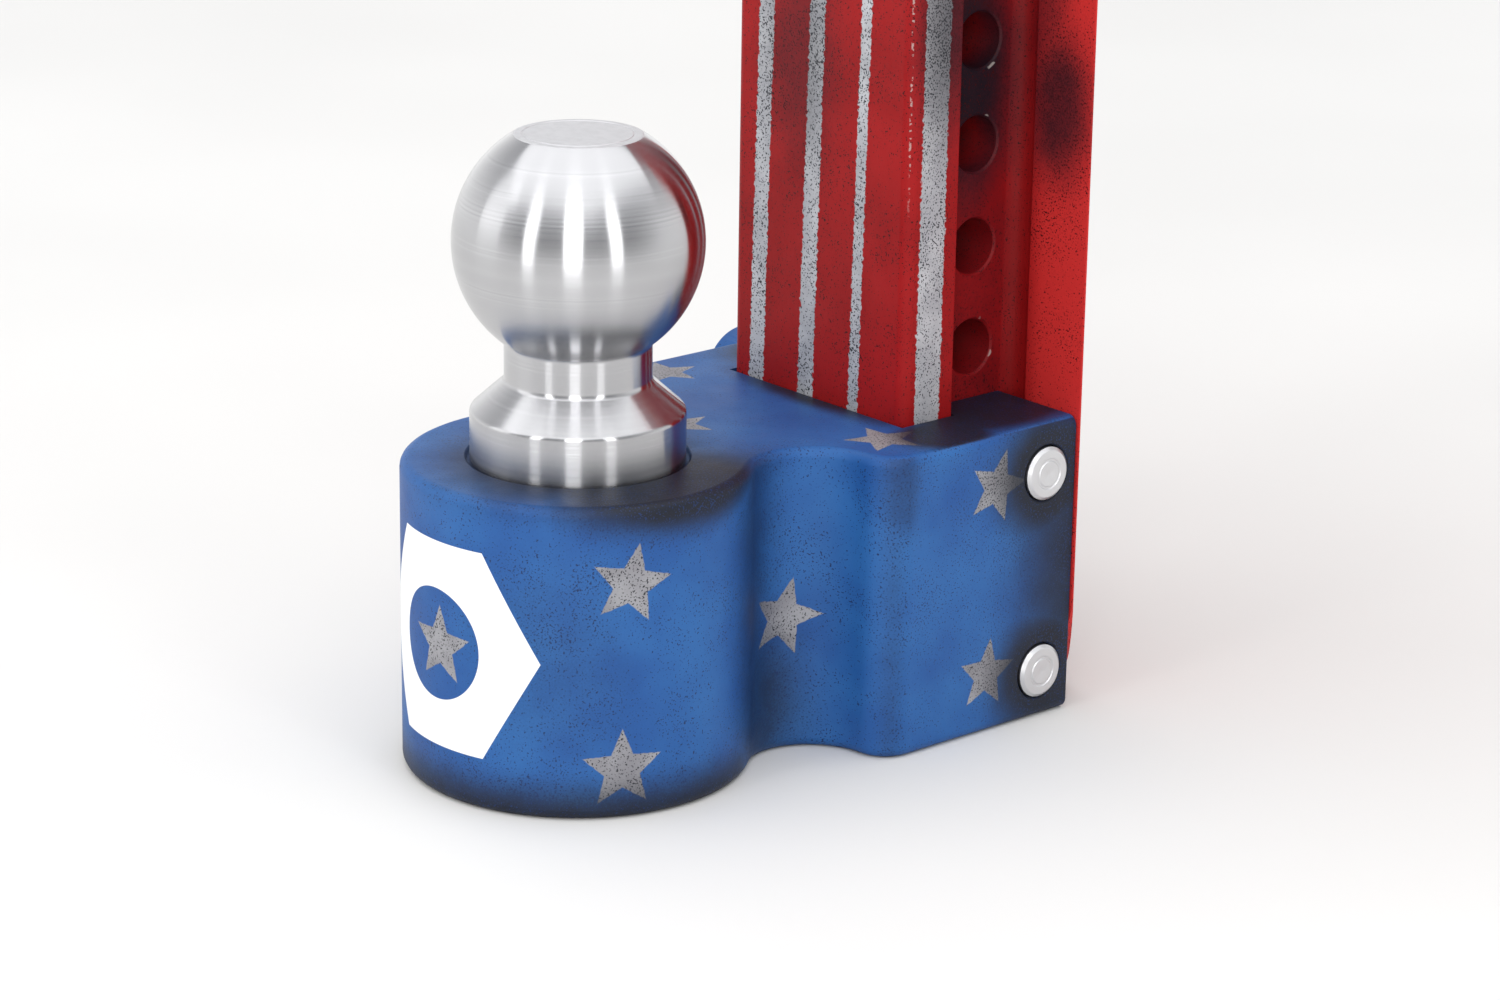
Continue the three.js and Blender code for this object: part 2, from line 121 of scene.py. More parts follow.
@dataclass(frozen=True)
class Layout:
    """Places that more than one piece keeps to, in millimetres."""

    head_front: float = -30.1
    head_back: float = -13.6
    head_half: float = 31.4
    web_half: float = 22.8
    flange_front: float = 10.0
    flange_half: float = 51.8
    slide_gap: float = 0.4
    hole_radius: float = 6.95
    hole_pitch: float = 25.4
    hole_count: int = 9
    lowest_hole: float = 12.1
    mount_height: float = 75.5
    mount_half: float = 50.65
    ball_y: float = -104.4
    collar_seat: float = 74.5
    pad_face: float = -62.95
    pad_radius: float = 12.0
    seat_step: float = -52.2
    body_radius: float = 9.2
    barrel_radius: float = 7.3
    body_outer: float = -61.45
    body_inner: float = -40.0
    plug_offset: float = 1.8

    @property
    def ear_back(self) -> float:
        """Back face of the ears."""
        return self.flange_front - self.slide_gap

    def pin_height(self, side: Side) -> float:
        """Height of a cross pin's axis."""
        step = 0 if side is Side.LOWER else 2
        return self.lowest_hole + step * self.hole_pitch


LAYOUT = Layout()


# ---- mesh helpers ----


def arc(centre: Point, radius: float, start: float, end: float, step: float = ARC_STEP) -> list[Point]:
    """Points of an arc, ends included.

    Args:
        centre: Centre of the arc.
        radius: Its radius.
        start: First angle, in radians.
        end: Last angle; the arc runs anticlockwise where it is larger.
        step: Largest angle between two points.

    Returns:
        The points in order.
    """
    count = max(2, math.ceil(abs(end - start) / step))
    angles = (start + (end - start) * i / count for i in range(count + 1))
    return [(centre[0] + radius * math.cos(a), centre[1] + radius * math.sin(a)) for a in angles]


def mirrored(half: Sequence[Point]) -> list[Point]:
    """A closed outline from its right half, given front to back."""
    return [*half, *[(-x, y) for x, y in reversed(half) if abs(x) > 1e-6]]


def inset(outline: Sequence[Point], depth: float) -> list[Point]:
    """An anticlockwise outline drawn in by a depth.

    Args:
        outline: The points in order.
        depth: How far each side moves inwards.

    Returns:
        The moved points, as many as came in.
    """
    moved = []
    for i, here in enumerate(outline):
        before = Vector(here) - Vector(outline[i - 1])
        after = Vector(outline[(i + 1) % len(outline)]) - Vector(here)
        first = Vector((before.y, -before.x)).normalized()
        second = Vector((after.y, -after.x)).normalized()
        both = (first + second) / max(0.2, 1 + first.dot(second))
        moved.append((here[0] - depth * both.x, here[1] - depth * both.y))
    return moved


def object_of(name: str, form: bmesh.types.BMesh) -> Piece:
    """Turns a bmesh in millimetres into an object in metres, with its doubles merged and its faces out.

    Args:
        name: Name of the object.
        form: The bmesh, which is freed.

    Returns:
        The object.
    """
    bmesh.ops.remove_doubles(form, verts=form.verts, dist=1e-4)
    bmesh.ops.recalc_face_normals(form, faces=form.faces)
    bmesh.ops.transform(form, matrix=Matrix.Scale(MM, 4), verts=form.verts)
    mesh = bpy.data.meshes.new(name)
    form.to_mesh(mesh)
    form.free()
    piece = bpy.data.objects.new(name, mesh)
    bpy.context.scene.collection.objects.link(piece)
    return piece


def prism(
    name: str,
    outline: Sequence[Point],
    low: float,
    high: float,
    rounding: float = 0.0,
    turn: Optional[Matrix] = None,
) -> Piece:
    """An upright block on an outline, with its two end edges rounded.

    Args:
        name: Name of the object.
        outline: Anticlockwise outline in X and Y.
        low: Height of the lower end.
        high: Height of the upper end.
        rounding: Radius along both end outlines.
        turn: Where the block is turned to afterwards.

    Returns:
        The block as an object.
    """
    steps = [math.pi / 2 * i / 5 for i in range(6)] if rounding else [math.pi / 2]
    rings = [(rounding * (1 - math.sin(a)), low + rounding * (1 - math.cos(a))) for a in steps]
    rings += [(depth, low + high - height) for depth, height in reversed(rings)]
    form = bmesh.new()
    loops = []
    for depth, height in rings:
        points = inset(outline, depth) if depth > 1e-6 else outline
        loops.append([form.verts.new((x, y, height)) for x, y in points])
    for lower, upper in zip(loops, loops[1:]):
        for i in range(len(lower)):
            j = (i + 1) % len(lower)
            form.faces.new((lower[i], lower[j], upper[j], upper[i]))
    form.faces.new(list(reversed(loops[0])))
    form.faces.new(loops[-1])
    if turn is not None:
        bmesh.ops.transform(form, matrix=turn, verts=form.verts)
    return object_of(name, form)


def turned(name: str, profile: Sequence[Point], turn: Matrix, sides: int = TURNED_SIDES) -> Piece:
    """A turned piece.

    Args:
        name: Name of the object.
        profile: Pairs of radius and height; a radius of 0 closes an end on the axis.
        turn: Places the piece, whose axis is Z.
        sides: Facets round the axis.

    Returns:
        The piece as an object.
    """
    form = bmesh.new()
    rings: list[list[bmesh.types.BMVert]] = []
    for radius, height in profile:
        if radius < 1e-6:
            rings.append([form.verts.new((0, 0, height))])
            continue
        angles = (math.tau * i / sides for i in range(sides))
        rings.append([form.verts.new((radius * math.cos(a), radius * math.sin(a), height)) for a in angles])
    closed = len(rings[0]) > 1 and len(rings[-1]) > 1
    for first, second in zip(rings, [*rings[1:], rings[0]] if closed else rings[1:]):
        for i in range(sides):
            j = (i + 1) % sides
            pairs = ((first, i), (first, j), (second, j), (second, i))
            corners = [ring[k % len(ring)] for ring, k in pairs]
            form.faces.new(list(dict.fromkeys(corners)))
    bmesh.ops.transform(form, matrix=turn, verts=form.verts)
    return object_of(name, form)


def drill(
    radius: float, start: float, end: float, turn: Matrix, sides: int = HOLE_SIDES, broken: float = 0.0
) -> Piece:
    """A round bar that cuts a hole from inside a piece out to one of its faces.

    Args:
        radius: Radius of the hole.
        start: Its inner end on the axis.
        end: The face that it comes out of.
        turn: Places the bar, whose axis is Z.
        sides: Facets round the axis.
        broken: How much the edge at the face is broken, at 45 degrees.

    Returns:
        The bar.
    """
    profile = [(0, start), (radius, start), (radius, end), (0, end)]
    if broken:
        way = math.copysign(1.0, end - start)
        run = 3.0
        out = end + way * (run - broken)
        profile[2:] = [(radius, end - way * broken), (radius + run, out), (0, out)]
    return turned("drill", profile, turn, sides)


def rounded_profile(points: Sequence[Point], radii: dict[int, float]) -> list[Point]:
    """Softens named corners of a profile with short arcs.

    Args:
        points: The profile.
        radii: How much is taken off at each corner, by its place in the list.

    Returns:
        The longer profile.
    """
    out: list[Point] = []
    for i, here in enumerate(points):
        if i not in radii:
            out.append(here)
            continue
        corner = Vector(here)
        start = corner + (Vector(points[i - 1]) - corner).normalized() * radii[i]
        end = corner + (Vector(points[i + 1]) - corner).normalized() * radii[i]
        for k in range(5):
            t = k / 4
            place = start * (1 - t) ** 2 + corner * 2 * t * (1 - t) + end * t**2
            out.append((place.x, place.y))
    return out


def upright(x: float = 0.0, y: float = 0.0, z: float = 0.0) -> Matrix:
    """Moves a piece whose axis stays along Z."""
    return Matrix.Translation((x, y, z))


def across(y: float, z: float) -> Matrix:
    """Lays a piece whose axis was Z along +X."""
    return Matrix.Translation((0, y, z)) @ Matrix.Rotation(math.pi / 2, 4, "Y")


def standing(x: float, z: float = 0.0) -> Matrix:
    """Stands a prism up, so that its outline lies in Y and Z and its length runs along +X."""
    return Matrix.Translation((x, 0, z)) @ Matrix(((0, 0, 1, 0), (1, 0, 0, 0), (0, 1, 0, 0), (0, 0, 0, 1)))


def plain_mesh(piece: Piece) -> Piece:
    """Replaces a piece's live modifiers with their result.

    Args:
        piece: The piece.

    Returns:
        The same piece.
    """
    bpy.context.view_layer.update()
    graph = bpy.context.evaluated_depsgraph_get()
    mesh = bpy.data.meshes.new_from_object(piece.evaluated_get(graph))
    piece.modifiers.clear()
    old = piece.data
    piece.data = mesh
    if old.users == 0:
        bpy.data.meshes.remove(old)
    mesh.name = piece.name
    return piece


def combine(piece: Piece, others: Sequence[Piece], operation: str) -> Piece:
    """Cuts the others from a piece or joins them to it, and removes them.

    Args:
        piece: The piece that is kept.
        others: The tools or the parts to join.
        operation: The Boolean modifier's own word.

    Returns:
        The same piece.
    """
    for other in others:
        step = piece.modifiers.new("step", "BOOLEAN")
        step.operation = operation
        step.solver = "EXACT"
        step.object = other
        plain_mesh(piece)
        bpy.data.objects.remove(other, do_unlink=True)
    return piece


def smooth(piece: Piece) -> None:
    """Smooths a piece's curved faces and keeps its flats flat and its edges crisp.

    Args:
        piece: The piece.
    """
    mesh = piece.data
    form = bmesh.new()
    form.from_mesh(mesh)
    bmesh.ops.remove_doubles(form, verts=form.verts, dist=2e-6)
    bmesh.ops.dissolve_degenerate(form, edges=form.edges, dist=1e-6)
    bmesh.ops.recalc_face_normals(form, faces=form.faces)
    bmesh.ops.triangulate(form, faces=[f for f in form.faces if len(f.verts) > 4])
    form.to_mesh(mesh)
    form.free()
    mesh.shade_smooth()
    mesh.set_sharp_from_angle(angle=SHARP_EDGE)
    weigh = piece.modifiers.new("weigh", "WEIGHTED_NORMAL")
    weigh.keep_sharp = True
    weigh.weight = 100
    plain_mesh(piece)


def dress(piece: Piece, material: Material) -> None:
    """Gives a piece one finish all over."""
    piece.data.materials.clear()
    piece.data.materials.append(material)


def hand_over(piece: Piece, body: str, slot: str, *nodes: str) -> None:
    """Smooths a finished piece, sets it on its body and reports it.

    Args:
        piece: The finished piece.
        body: The moving body that it rides on.
        slot: The record's material slot; not used.
        nodes: The CAD nodes that it stands for.
    """
    smooth(piece)
    for node in nodes:
        own = [Vector(corner) for corner in (piece.bound_box[0], piece.bound_box[6])]
        gap = max(max(abs(v) for v in mine - Vector(cad)) for mine, cad in zip(own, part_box(node)))
        if gap > BOX_SLACK:
            raise RuntimeError(f"{piece.name} is {gap / MM:.2f} mm off the box of {node}")
    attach(piece, body)
    if nodes:
        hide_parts(*nodes)
    LOG.info("%s: %d faces on %s", piece.name, len(piece.data.polygons), body)


# ---- geometry nodes ----


def new_tree(name: str, inputs: Sequence[tuple[str, str]]) -> Tree:
    """An empty geometry tree with named inputs and one geometry output.

    Args:
        name: Name of the tree.
        inputs: Name and socket type of each input.

    Returns:
        The tree.
    """
    tree = bpy.data.node_groups.new(name, "GeometryNodeTree")
    for label, kind in inputs:
        tree.interface.new_socket(label, in_out="INPUT", socket_type=kind)
    tree.interface.new_socket("Geometry", in_out="OUTPUT", socket_type="NodeSocketGeometry")
    return tree


def add(tree: Tree, kind: str, *inputs: Input, named: Optional[dict] = None, **settings: object) -> Node:
    """Adds one node with its settings and links.

    Args:
        tree: The tree that it goes into.
        kind: Blender's name of the node.
        inputs: Values or sockets for its inputs in order; None leaves one as it is.
        named: The same by name or place.
        settings: Properties of the node.

    Returns:
        The node.
    """
    node = tree.nodes.new(kind)
    for key, value in settings.items():
        setattr(node, key, value)
    feed(tree, node, dict(enumerate(inputs)) | (named or {}))
    return node


def feed(tree: Tree, node: Node, values: dict) -> None:
    """Sets or links a node's inputs.

    Args:
        tree: The tree that it is in.
        node: The node.
        values: Values, sockets or nodes by the input's name or place; None leaves one as it is.
    """
    for key, value in values.items():
        if isinstance(value, Node):
            value = value.outputs[0]
        if isinstance(value, bpy.types.NodeSocket):
            tree.links.new(value, node.inputs[key])
        elif value is not None:
            node.inputs[key].default_value = value


def fold(tree: Tree, operation: str, *values: Input) -> Input:
    """Joins several values with one operation, from the first to the last.

    Args:
        tree: The tree.
        operation: The Math node's own word.
        values: Values, sockets or nodes.

    Returns:
        The last node, or the value itself where there is only one.
    """
    result = values[0]
    for value in values[1:]:
        result = add(tree, MATH, result, value, operation=operation)
    return result


def grown(name: str, tree: Tree, values: dict[str, object]) -> Piece:
    """Runs a geometry tree on a new object and keeps its result as a plain mesh.

    Args:
        name: Name of the object.
        tree: The tree.
        values: Its inputs by their names.

    Returns:
        The object.
    """
    piece = bpy.data.objects.new(name, bpy.data.meshes.new(name))
    bpy.context.scene.collection.objects.link(piece)
    step = piece.modifiers.new("grow", "NODES")
    step.node_group = tree
    for socket in tree.interface.items_tree:
        if socket.item_type == "SOCKET" and socket.in_out == "INPUT" and socket.name in values:
            step[socket.identifier] = values[socket.name]
    return plain_mesh(piece)


def hole_row_tree() -> Tree:
    """A column of bars along X whose ends flare out, which cuts a row of holes with broken edges."""
    lengths = ("Radius", "Flare", "Half Width", "Reach")
    tree = new_tree(
        "hole_row",
        [
            ("Count", "NodeSocketInt"),
            ("Pitch", "NodeSocketVector"),
            ("Start", "NodeSocketVector"),
            *((label, "NodeSocketFloat") for label in lengths),
            ("Material", "NodeSocketMaterial"),
        ],
    )
    source = {s.name: s for s in add(tree, "NodeGroupInput").outputs}
    radius, flare, half, reach = (source[label] for label in lengths)
    row = {"Count": source["Count"], "Start Location": source["Start"], "Offset": source["Pitch"]}
    line = add(tree, "GeometryNodeMeshLine", named=row)
    sizes = {"Vertices": HOLE_SIDES, "Radius": radius, "Depth": reach}
    bar = add(tree, "GeometryNodeMeshCylinder", named=sizes)
    # A flare starts inside the surface and widens by as much as it runs outwards.
    run = add(tree, MATH, flare, 2.0, operation="MULTIPLY")
    wide = fold(tree, "ADD", radius, flare, flare)
    right = fold(tree, "SUBTRACT", half, flare)
    left = fold(tree, "SUBTRACT", 0.0, half, flare)
    parts = [bar]
    for low, high, base in ((radius, wide, right), (wide, radius, left)):
        sizes = {"Vertices": HOLE_SIDES, "Radius Bottom": low, "Radius Top": high, "Depth": run}
        cone = add(tree, "GeometryNodeMeshCone", named=sizes)
        shift = add(tree, COMBINE, None, None, base)
        parts.append(add(tree, "GeometryNodeTransform", cone, named={"Translation": shift}))
    joined = add(tree, "GeometryNodeMeshBoolean", operation="UNION", solver="EXACT")
    for part in parts:
        tree.links.new(part.outputs[0], joined.inputs["Mesh 2"])
    laid = add(tree, "GeometryNodeTransform", joined, named={"Rotation": (0.0, math.pi / 2, 0.0)})
    placed = add(tree, "GeometryNodeInstanceOnPoints", line, named={"Instance": laid})
    real = add(tree, "GeometryNodeRealizeInstances", placed)
    painted = add(tree, "GeometryNodeSetMaterial", real, named={"Material": source["Material"]})
    add(tree, "NodeGroupOutput", painted)
    return tree


def helix_tree() -> Tree:
    """A ridge of square section wound round Z, with one corner outwards: a screw thread."""
    lengths = ("Turns", "Radius", "Height", "Ridge")
    inputs = [(label, "NodeSocketFloat") for label in lengths]
    tree = new_tree("helix", [*inputs, ("Base", "NodeSocketVector"), ("Material", "NodeSocketMaterial")])
    source = {s.name: s for s in add(tree, "NodeGroupInput").outputs}
    turns, radius, height, ridge = (source[label] for label in lengths)
    sizes = {"Rotations": turns, "Start Radius": radius, "End Radius": radius, "Height": height}
    path = add(tree, "GeometryNodeCurveSpiral", named={"Resolution": 48, **sizes})
    section = add(tree, "GeometryNodeCurvePrimitiveCircle", named={"Resolution": 4, "Radius": ridge})
    wound = add(tree, "GeometryNodeCurveToMesh", path, section, named={"Fill Caps": True})
    moved = add(tree, "GeometryNodeTransform", wound, named={"Translation": source["Base"]})
    real = add(tree, "GeometryNodeRealizeInstances", moved)
    painted = add(tree, "GeometryNodeSetMaterial", real, named={"Material": source["Material"]})
    add(tree, "NodeGroupOutput", painted)
    return tree


# ---- finishes ----


def linear(hex_colour: str) -> tuple[float, float, float, float]:
    """Turns an sRGB hex value into a linear colour.

    Args:
        hex_colour: Such as #7A1014.

    Returns:
        Red, green, blue and an alpha of 1.
    """
    values = [int(hex_colour[i : i + 2], 16) / 255 for i in (1, 3, 5)]
    flat = [v / 12.92 if v <= 0.04045 else ((v + 0.055) / 1.055) ** 2.4 for v in values]
    return (flat[0], flat[1], flat[2], 1.0)


def new_material(name: str) -> tuple[Material, Tree, Node]:
    """An empty node material.

    Args:
        name: The finish's real name.

    Returns:
        The material, its tree and its Principled shader, already joined to the output.
    """
    material = bpy.data.materials.new(name)
    material.use_nodes = True
    tree = material.node_tree
    tree.nodes.clear()
    shader = add(tree, "ShaderNodeBsdfPrincipled")
    add(tree, "ShaderNodeOutputMaterial", shader)
    return material, tree, shader


def millimetres(tree: Tree) -> tuple[Node, Node]:
    """The piece's own coordinates in millimetres.

    Args:
        tree: The material's tree.

    Returns:
        The vector and the same vector taken apart.
    """
    place = add(tree, "ShaderNodeTexCoord")
    scaled = add(tree, VECTOR, place.outputs["Object"], operation="SCALE", named={"Scale": 1 / MM})
    return scaled, add(tree, SEPARATE, scaled)


def distance(tree: Tree, u: Input, v: Input) -> Input:
    """How far a point of a plane lies from its origin.

    Args:
        tree: The tree.
        u: Place across.
        v: Place upwards.

    Returns:
        The distance.
    """
    both = add(tree, COMBINE, u, v)
    return add(tree, VECTOR, both, operation="LENGTH").outputs["Value"]


def only_where(tree: Tree, mask: Input, depth: Input) -> Node:
    """Keeps a shape where a mask is 1 and pushes it out of sight elsewhere.

    Args:
        tree: The tree.
        mask: Mask from 0 to 1.
        depth: Depth inside the shape in millimetres.

    Returns:
        The new depth.
    """
    off = add(tree, MATH, mask, 1.0, operation="SUBTRACT")
    return add(tree, MATH, off, OUT_OF_SIGHT, depth, operation="MULTIPLY_ADD")


def spray(tree: Tree, place: Input, spots: Sequence[Patch]) -> Input:
    """Soft sprayed patches.

    Args:
        tree: The material's tree.
        place: Coordinates in millimetres.
        spots: For each patch its centre, its half sizes along the axes and its strength.

    Returns:
        A mask from 0 to 1.
    """
    masks = []
    for centre, half, strength in spots:
        moved = add(tree, VECTOR, place, centre, operation="SUBTRACT")
        sized = add(tree, VECTOR, moved, half, operation="DIVIDE")
        far = add(tree, VECTOR, sized, operation="LENGTH")
        soft = add(tree, STEP, far.outputs["Value"], 1.0, 0.15, **SMOOTH)
        masks.append(add(tree, MATH, soft, strength, operation="MULTIPLY"))
    return fold(tree, "MAXIMUM", *masks)


def star_group() -> Tree:
    """How deep a point lies inside a five-pointed star, in the units of its inputs, negative outside."""
    name = "five_point_star"
    if name in bpy.data.node_groups:
        return bpy.data.node_groups[name]
    tree = bpy.data.node_groups.new(name, "ShaderNodeTree")
    for label in ("U", "V", "Centre U", "Centre V", "Radius", "Tilt"):
        tree.interface.new_socket(label, in_out="INPUT", socket_type="NodeSocketFloat")
    tree.interface.new_socket("Depth", in_out="OUTPUT", socket_type="NodeSocketFloat")
    source = {s.name: s for s in add(tree, "NodeGroupInput").outputs}
    tenth = math.pi / 5
    normal = math.atan2(1 - STAR_RATIO * math.cos(tenth), STAR_RATIO * math.sin(tenth))
    du = add(tree, MATH, source["U"], source["Centre U"], operation="SUBTRACT")
    dv = add(tree, MATH, source["V"], source["Centre V"], operation="SUBTRACT")
    angle = add(tree, MATH, du, dv, operation="ARCTAN2")
    turned_to = add(tree, MATH, angle, source["Tilt"], operation="SUBTRACT")
    folded = add(tree, MATH, turned_to, tenth, -tenth, operation="WRAP")
    bare = add(tree, MATH, folded, operation="ABSOLUTE")
    lean = add(tree, MATH, bare, normal, operation="SUBTRACT")
    cosine = add(tree, MATH, lean, operation="COSINE")
    out = add(tree, MATH, distance(tree, du, dv), cosine, operation="MULTIPLY")
    edge = add(tree, MATH, source["Radius"], math.cos(normal), operation="MULTIPLY")
    depth = add(tree, MATH, edge, out, operation="SUBTRACT")
    add(tree, "NodeGroupOutput", depth)
    return tree


def stars(tree: Tree, u: Input, v: Input, places: Sequence[Star]) -> Input:
    """How deep a point lies inside the nearest of several stars.

    Args:
        tree: The material's tree.
        u: Place across, in millimetres.
        v: Place upwards, in millimetres.
        places: Centre, radius and tilt in degrees of each star.

    Returns:
        Millimetres inside the star's edge, negative outside.
    """
    group = star_group()
    depths = [
        add(tree, "ShaderNodeGroup", u, v, across_at, up_at, radius, math.radians(tilt), node_tree=group)
        for across_at, up_at, radius, tilt in places
    ]
    return fold(tree, "MAXIMUM", *depths)


@dataclass(frozen=True)
class SprayedCoat:
    """Matt paint misted over a silver base coat, with masked bare shapes and a dark overspray.

    A catalysed matt paint: the colour is even and slightly chalky, with a fine orange peel, tiny dark
    droplets and soft dark clouds where the gun was held close. The dark mask also carries painted shade,
    and a brighter colour lays painted light, where a finish gives them.
    """

    name: str
    light: str
    body: str
    shade: str
    speck: str
    bare: str
    bare_shade: str
    bare_speck: str = "#34353A"
    # colour of painted light, for an area drawn brighter as if more light fell on it
    bright: str = "#FFFFFF"
    # colour of scuffed bare metal, also used for painted highlights on edges
    wear_and_highlight_colour: str = "#C9C4BE"
    white: str = "#F4F5F6"
    roughness: float = 0.5
    shine: float = 0.3
    raggedness: float = 2.0
    # sizes of the grain in millimetres: tone, clouds of droplets, drift, ragged edge, droplets and peel
    tone_size: float = 26.0
    crowd_size: float = 14.0
    drift_size: float = 9.0
    rag_size: float = 1.3
    speck_size: float = 0.46
    peel_size: float = 1.4
    # how far drift and droplets break up the fringe of a cloud, and how much a cloud covers bare metal
    drift_reach: float = 0.22
    stipple_reach: float = 0.30
    cover: float = 0.88

    def paint(
        self,
        tree: Tree,
        shader: Node,
        place: Input,
        cloud: Input,
        bare_depth: Input,
        extra: Optional[Input] = None,
        wear_and_highlight: Optional[Input] = None,
        painted_light: Optional[Input] = None,
    ) -> None:
        """Joins the coat to a shader.

        Args:
            tree: The material's tree.
            shader: Its Principled shader.
            place: Coordinates in millimetres.
            cloud: Mask of the dark overspray, together with any painted shade that the finish adds to it.
            bare_depth: Depth in millimetres inside the masked shapes, negative outside.
            extra: Mask of a plain white mark, where there is one.
            wear_and_highlight: Mask of scuffed edges that show bright metal, and of painted highlights on
                edges.
            painted_light: Mask of painted light: an area drawn brighter, as if more light fell on it.
        """
        drift = add(tree, NOISE, place, None, 1 / self.drift_size, 4.0)
        fine = add(tree, NOISE, place, None, 1 / self.speck_size, 1.0)
        dark = self._mist(tree, drift, fine, cloud)
        bare = self._bare(tree, place, bare_depth)
        drops = self._drops(tree, place, fine, dark, bare)
        tone = add(tree, STEP, add(tree, NOISE, place, None, 1 / self.tone_size, 3.0), 0.30, 0.72, **SMOOTH)
        patchy = add(tree, STEP, drift, 0.35, 0.7, **SMOOTH)
        metal = add(tree, MIX, patchy, linear(self.bare_shade), linear(self.bare))
        covered = add(tree, MATH, dark, self.cover, operation="MULTIPLY")
        metal = add(tree, MIX, covered, metal, linear(self.shade))
        droplet = add(tree, MIX, bare, linear(self.speck), linear(self.bare_speck))
        colour = add(tree, MIX, tone, linear(self.body), linear(self.light))
        layers = (
            (painted_light, linear(self.bright)),
            (dark, linear(self.shade)),
            (bare, metal),
            (drops, droplet),
            (wear_and_highlight, linear(self.wear_and_highlight_colour)),
            (extra, linear(self.white)),
        )
        for mask, over in layers:
            if mask is not None:
                colour = add(tree, MIX, mask, colour, over)
        metallic = add(tree, MATH, bare, 0.35, operation="MULTIPLY")
        rough = add(tree, MATH, drift, 0.18, self.roughness - 0.09, operation="MULTIPLY_ADD")
        peel = add(tree, NOISE, place, None, 1 / self.peel_size, 3.0)
        height = add(tree, MATH, drops, 0.5, peel, operation="MULTIPLY_ADD")
        bump = add(tree, "ShaderNodeBump", named={"Strength": 0.22, "Distance": 0.00025, "Height": height})
        feed(
            tree,
            shader,
            {
                "Base Color": colour,
                "Roughness": rough,
                "Metallic": metallic,
                "Normal": bump,
                "Specular IOR Level": self.shine,
            },
        )

    def _mist(self, tree: Tree, drift: Node, fine: Node, cloud: Input) -> Node:
        """The dark overspray and any painted shade with it, whose fringe is a stipple of mist and not a
        smooth fade.

        Args:
            tree: The material's tree.
            drift: Coarse noise.
            fine: Noise of the size of a droplet.
            cloud: Mask of the overspray and of any painted shade.

        Returns:
            How dark the coat is, from 0 to 1.
        """
        moved = cloud
        for noise, reach in ((drift, self.drift_reach), (fine, self.stipple_reach)):
            about = add(tree, MATH, noise, -0.5, operation="ADD")
            moved = add(tree, MATH, about, reach, moved, operation="MULTIPLY_ADD")
        return add(tree, STEP, moved, 0.02, 1.0, **SMOOTH)

    def _bare(self, tree: Tree, place: Input, depth: Input) -> Node:
        """The masked shapes, round which the paint breaks off in a ragged edge.

        Args:
            tree: The material's tree.
            place: Coordinates in millimetres.
            depth: Depth inside the shapes in millimetres.

        Returns:
            Their mask, from 0 to 1.
        """
        pull = add(tree, MATH, add(tree, NOISE, place, None, 1 / self.rag_size, 3.0), -0.5, operation="ADD")
        edge = add(tree, MATH, pull, self.raggedness, depth, operation="MULTIPLY_ADD")
        return add(tree, STEP, edge, -0.12, 0.18, **SMOOTH)

    def _drops(self, tree: Tree, place: Input, fine: Node, dark: Node, bare: Node) -> Node:
        """Droplets, thicker in the overspray and over the bare shapes.

        Args:
            tree: The material's tree.
            place: Coordinates in millimetres.
            fine: Noise of the size of a droplet.
            dark: How dark the coat is.
            bare: Mask of the bare shapes.

        Returns:
            Their mask, from 0 to 1.
        """
        level = fine
        crowd = add(tree, NOISE, place, None, 1 / self.crowd_size, 2.0)
        for cause, weight in ((dark, 0.05), (bare, 0.05), (crowd, 0.22)):
            level = add(tree, MATH, cause, weight, level, operation="MULTIPLY_ADD")
        return add(tree, STEP, level, 0.74, 0.82, **SMOOTH)


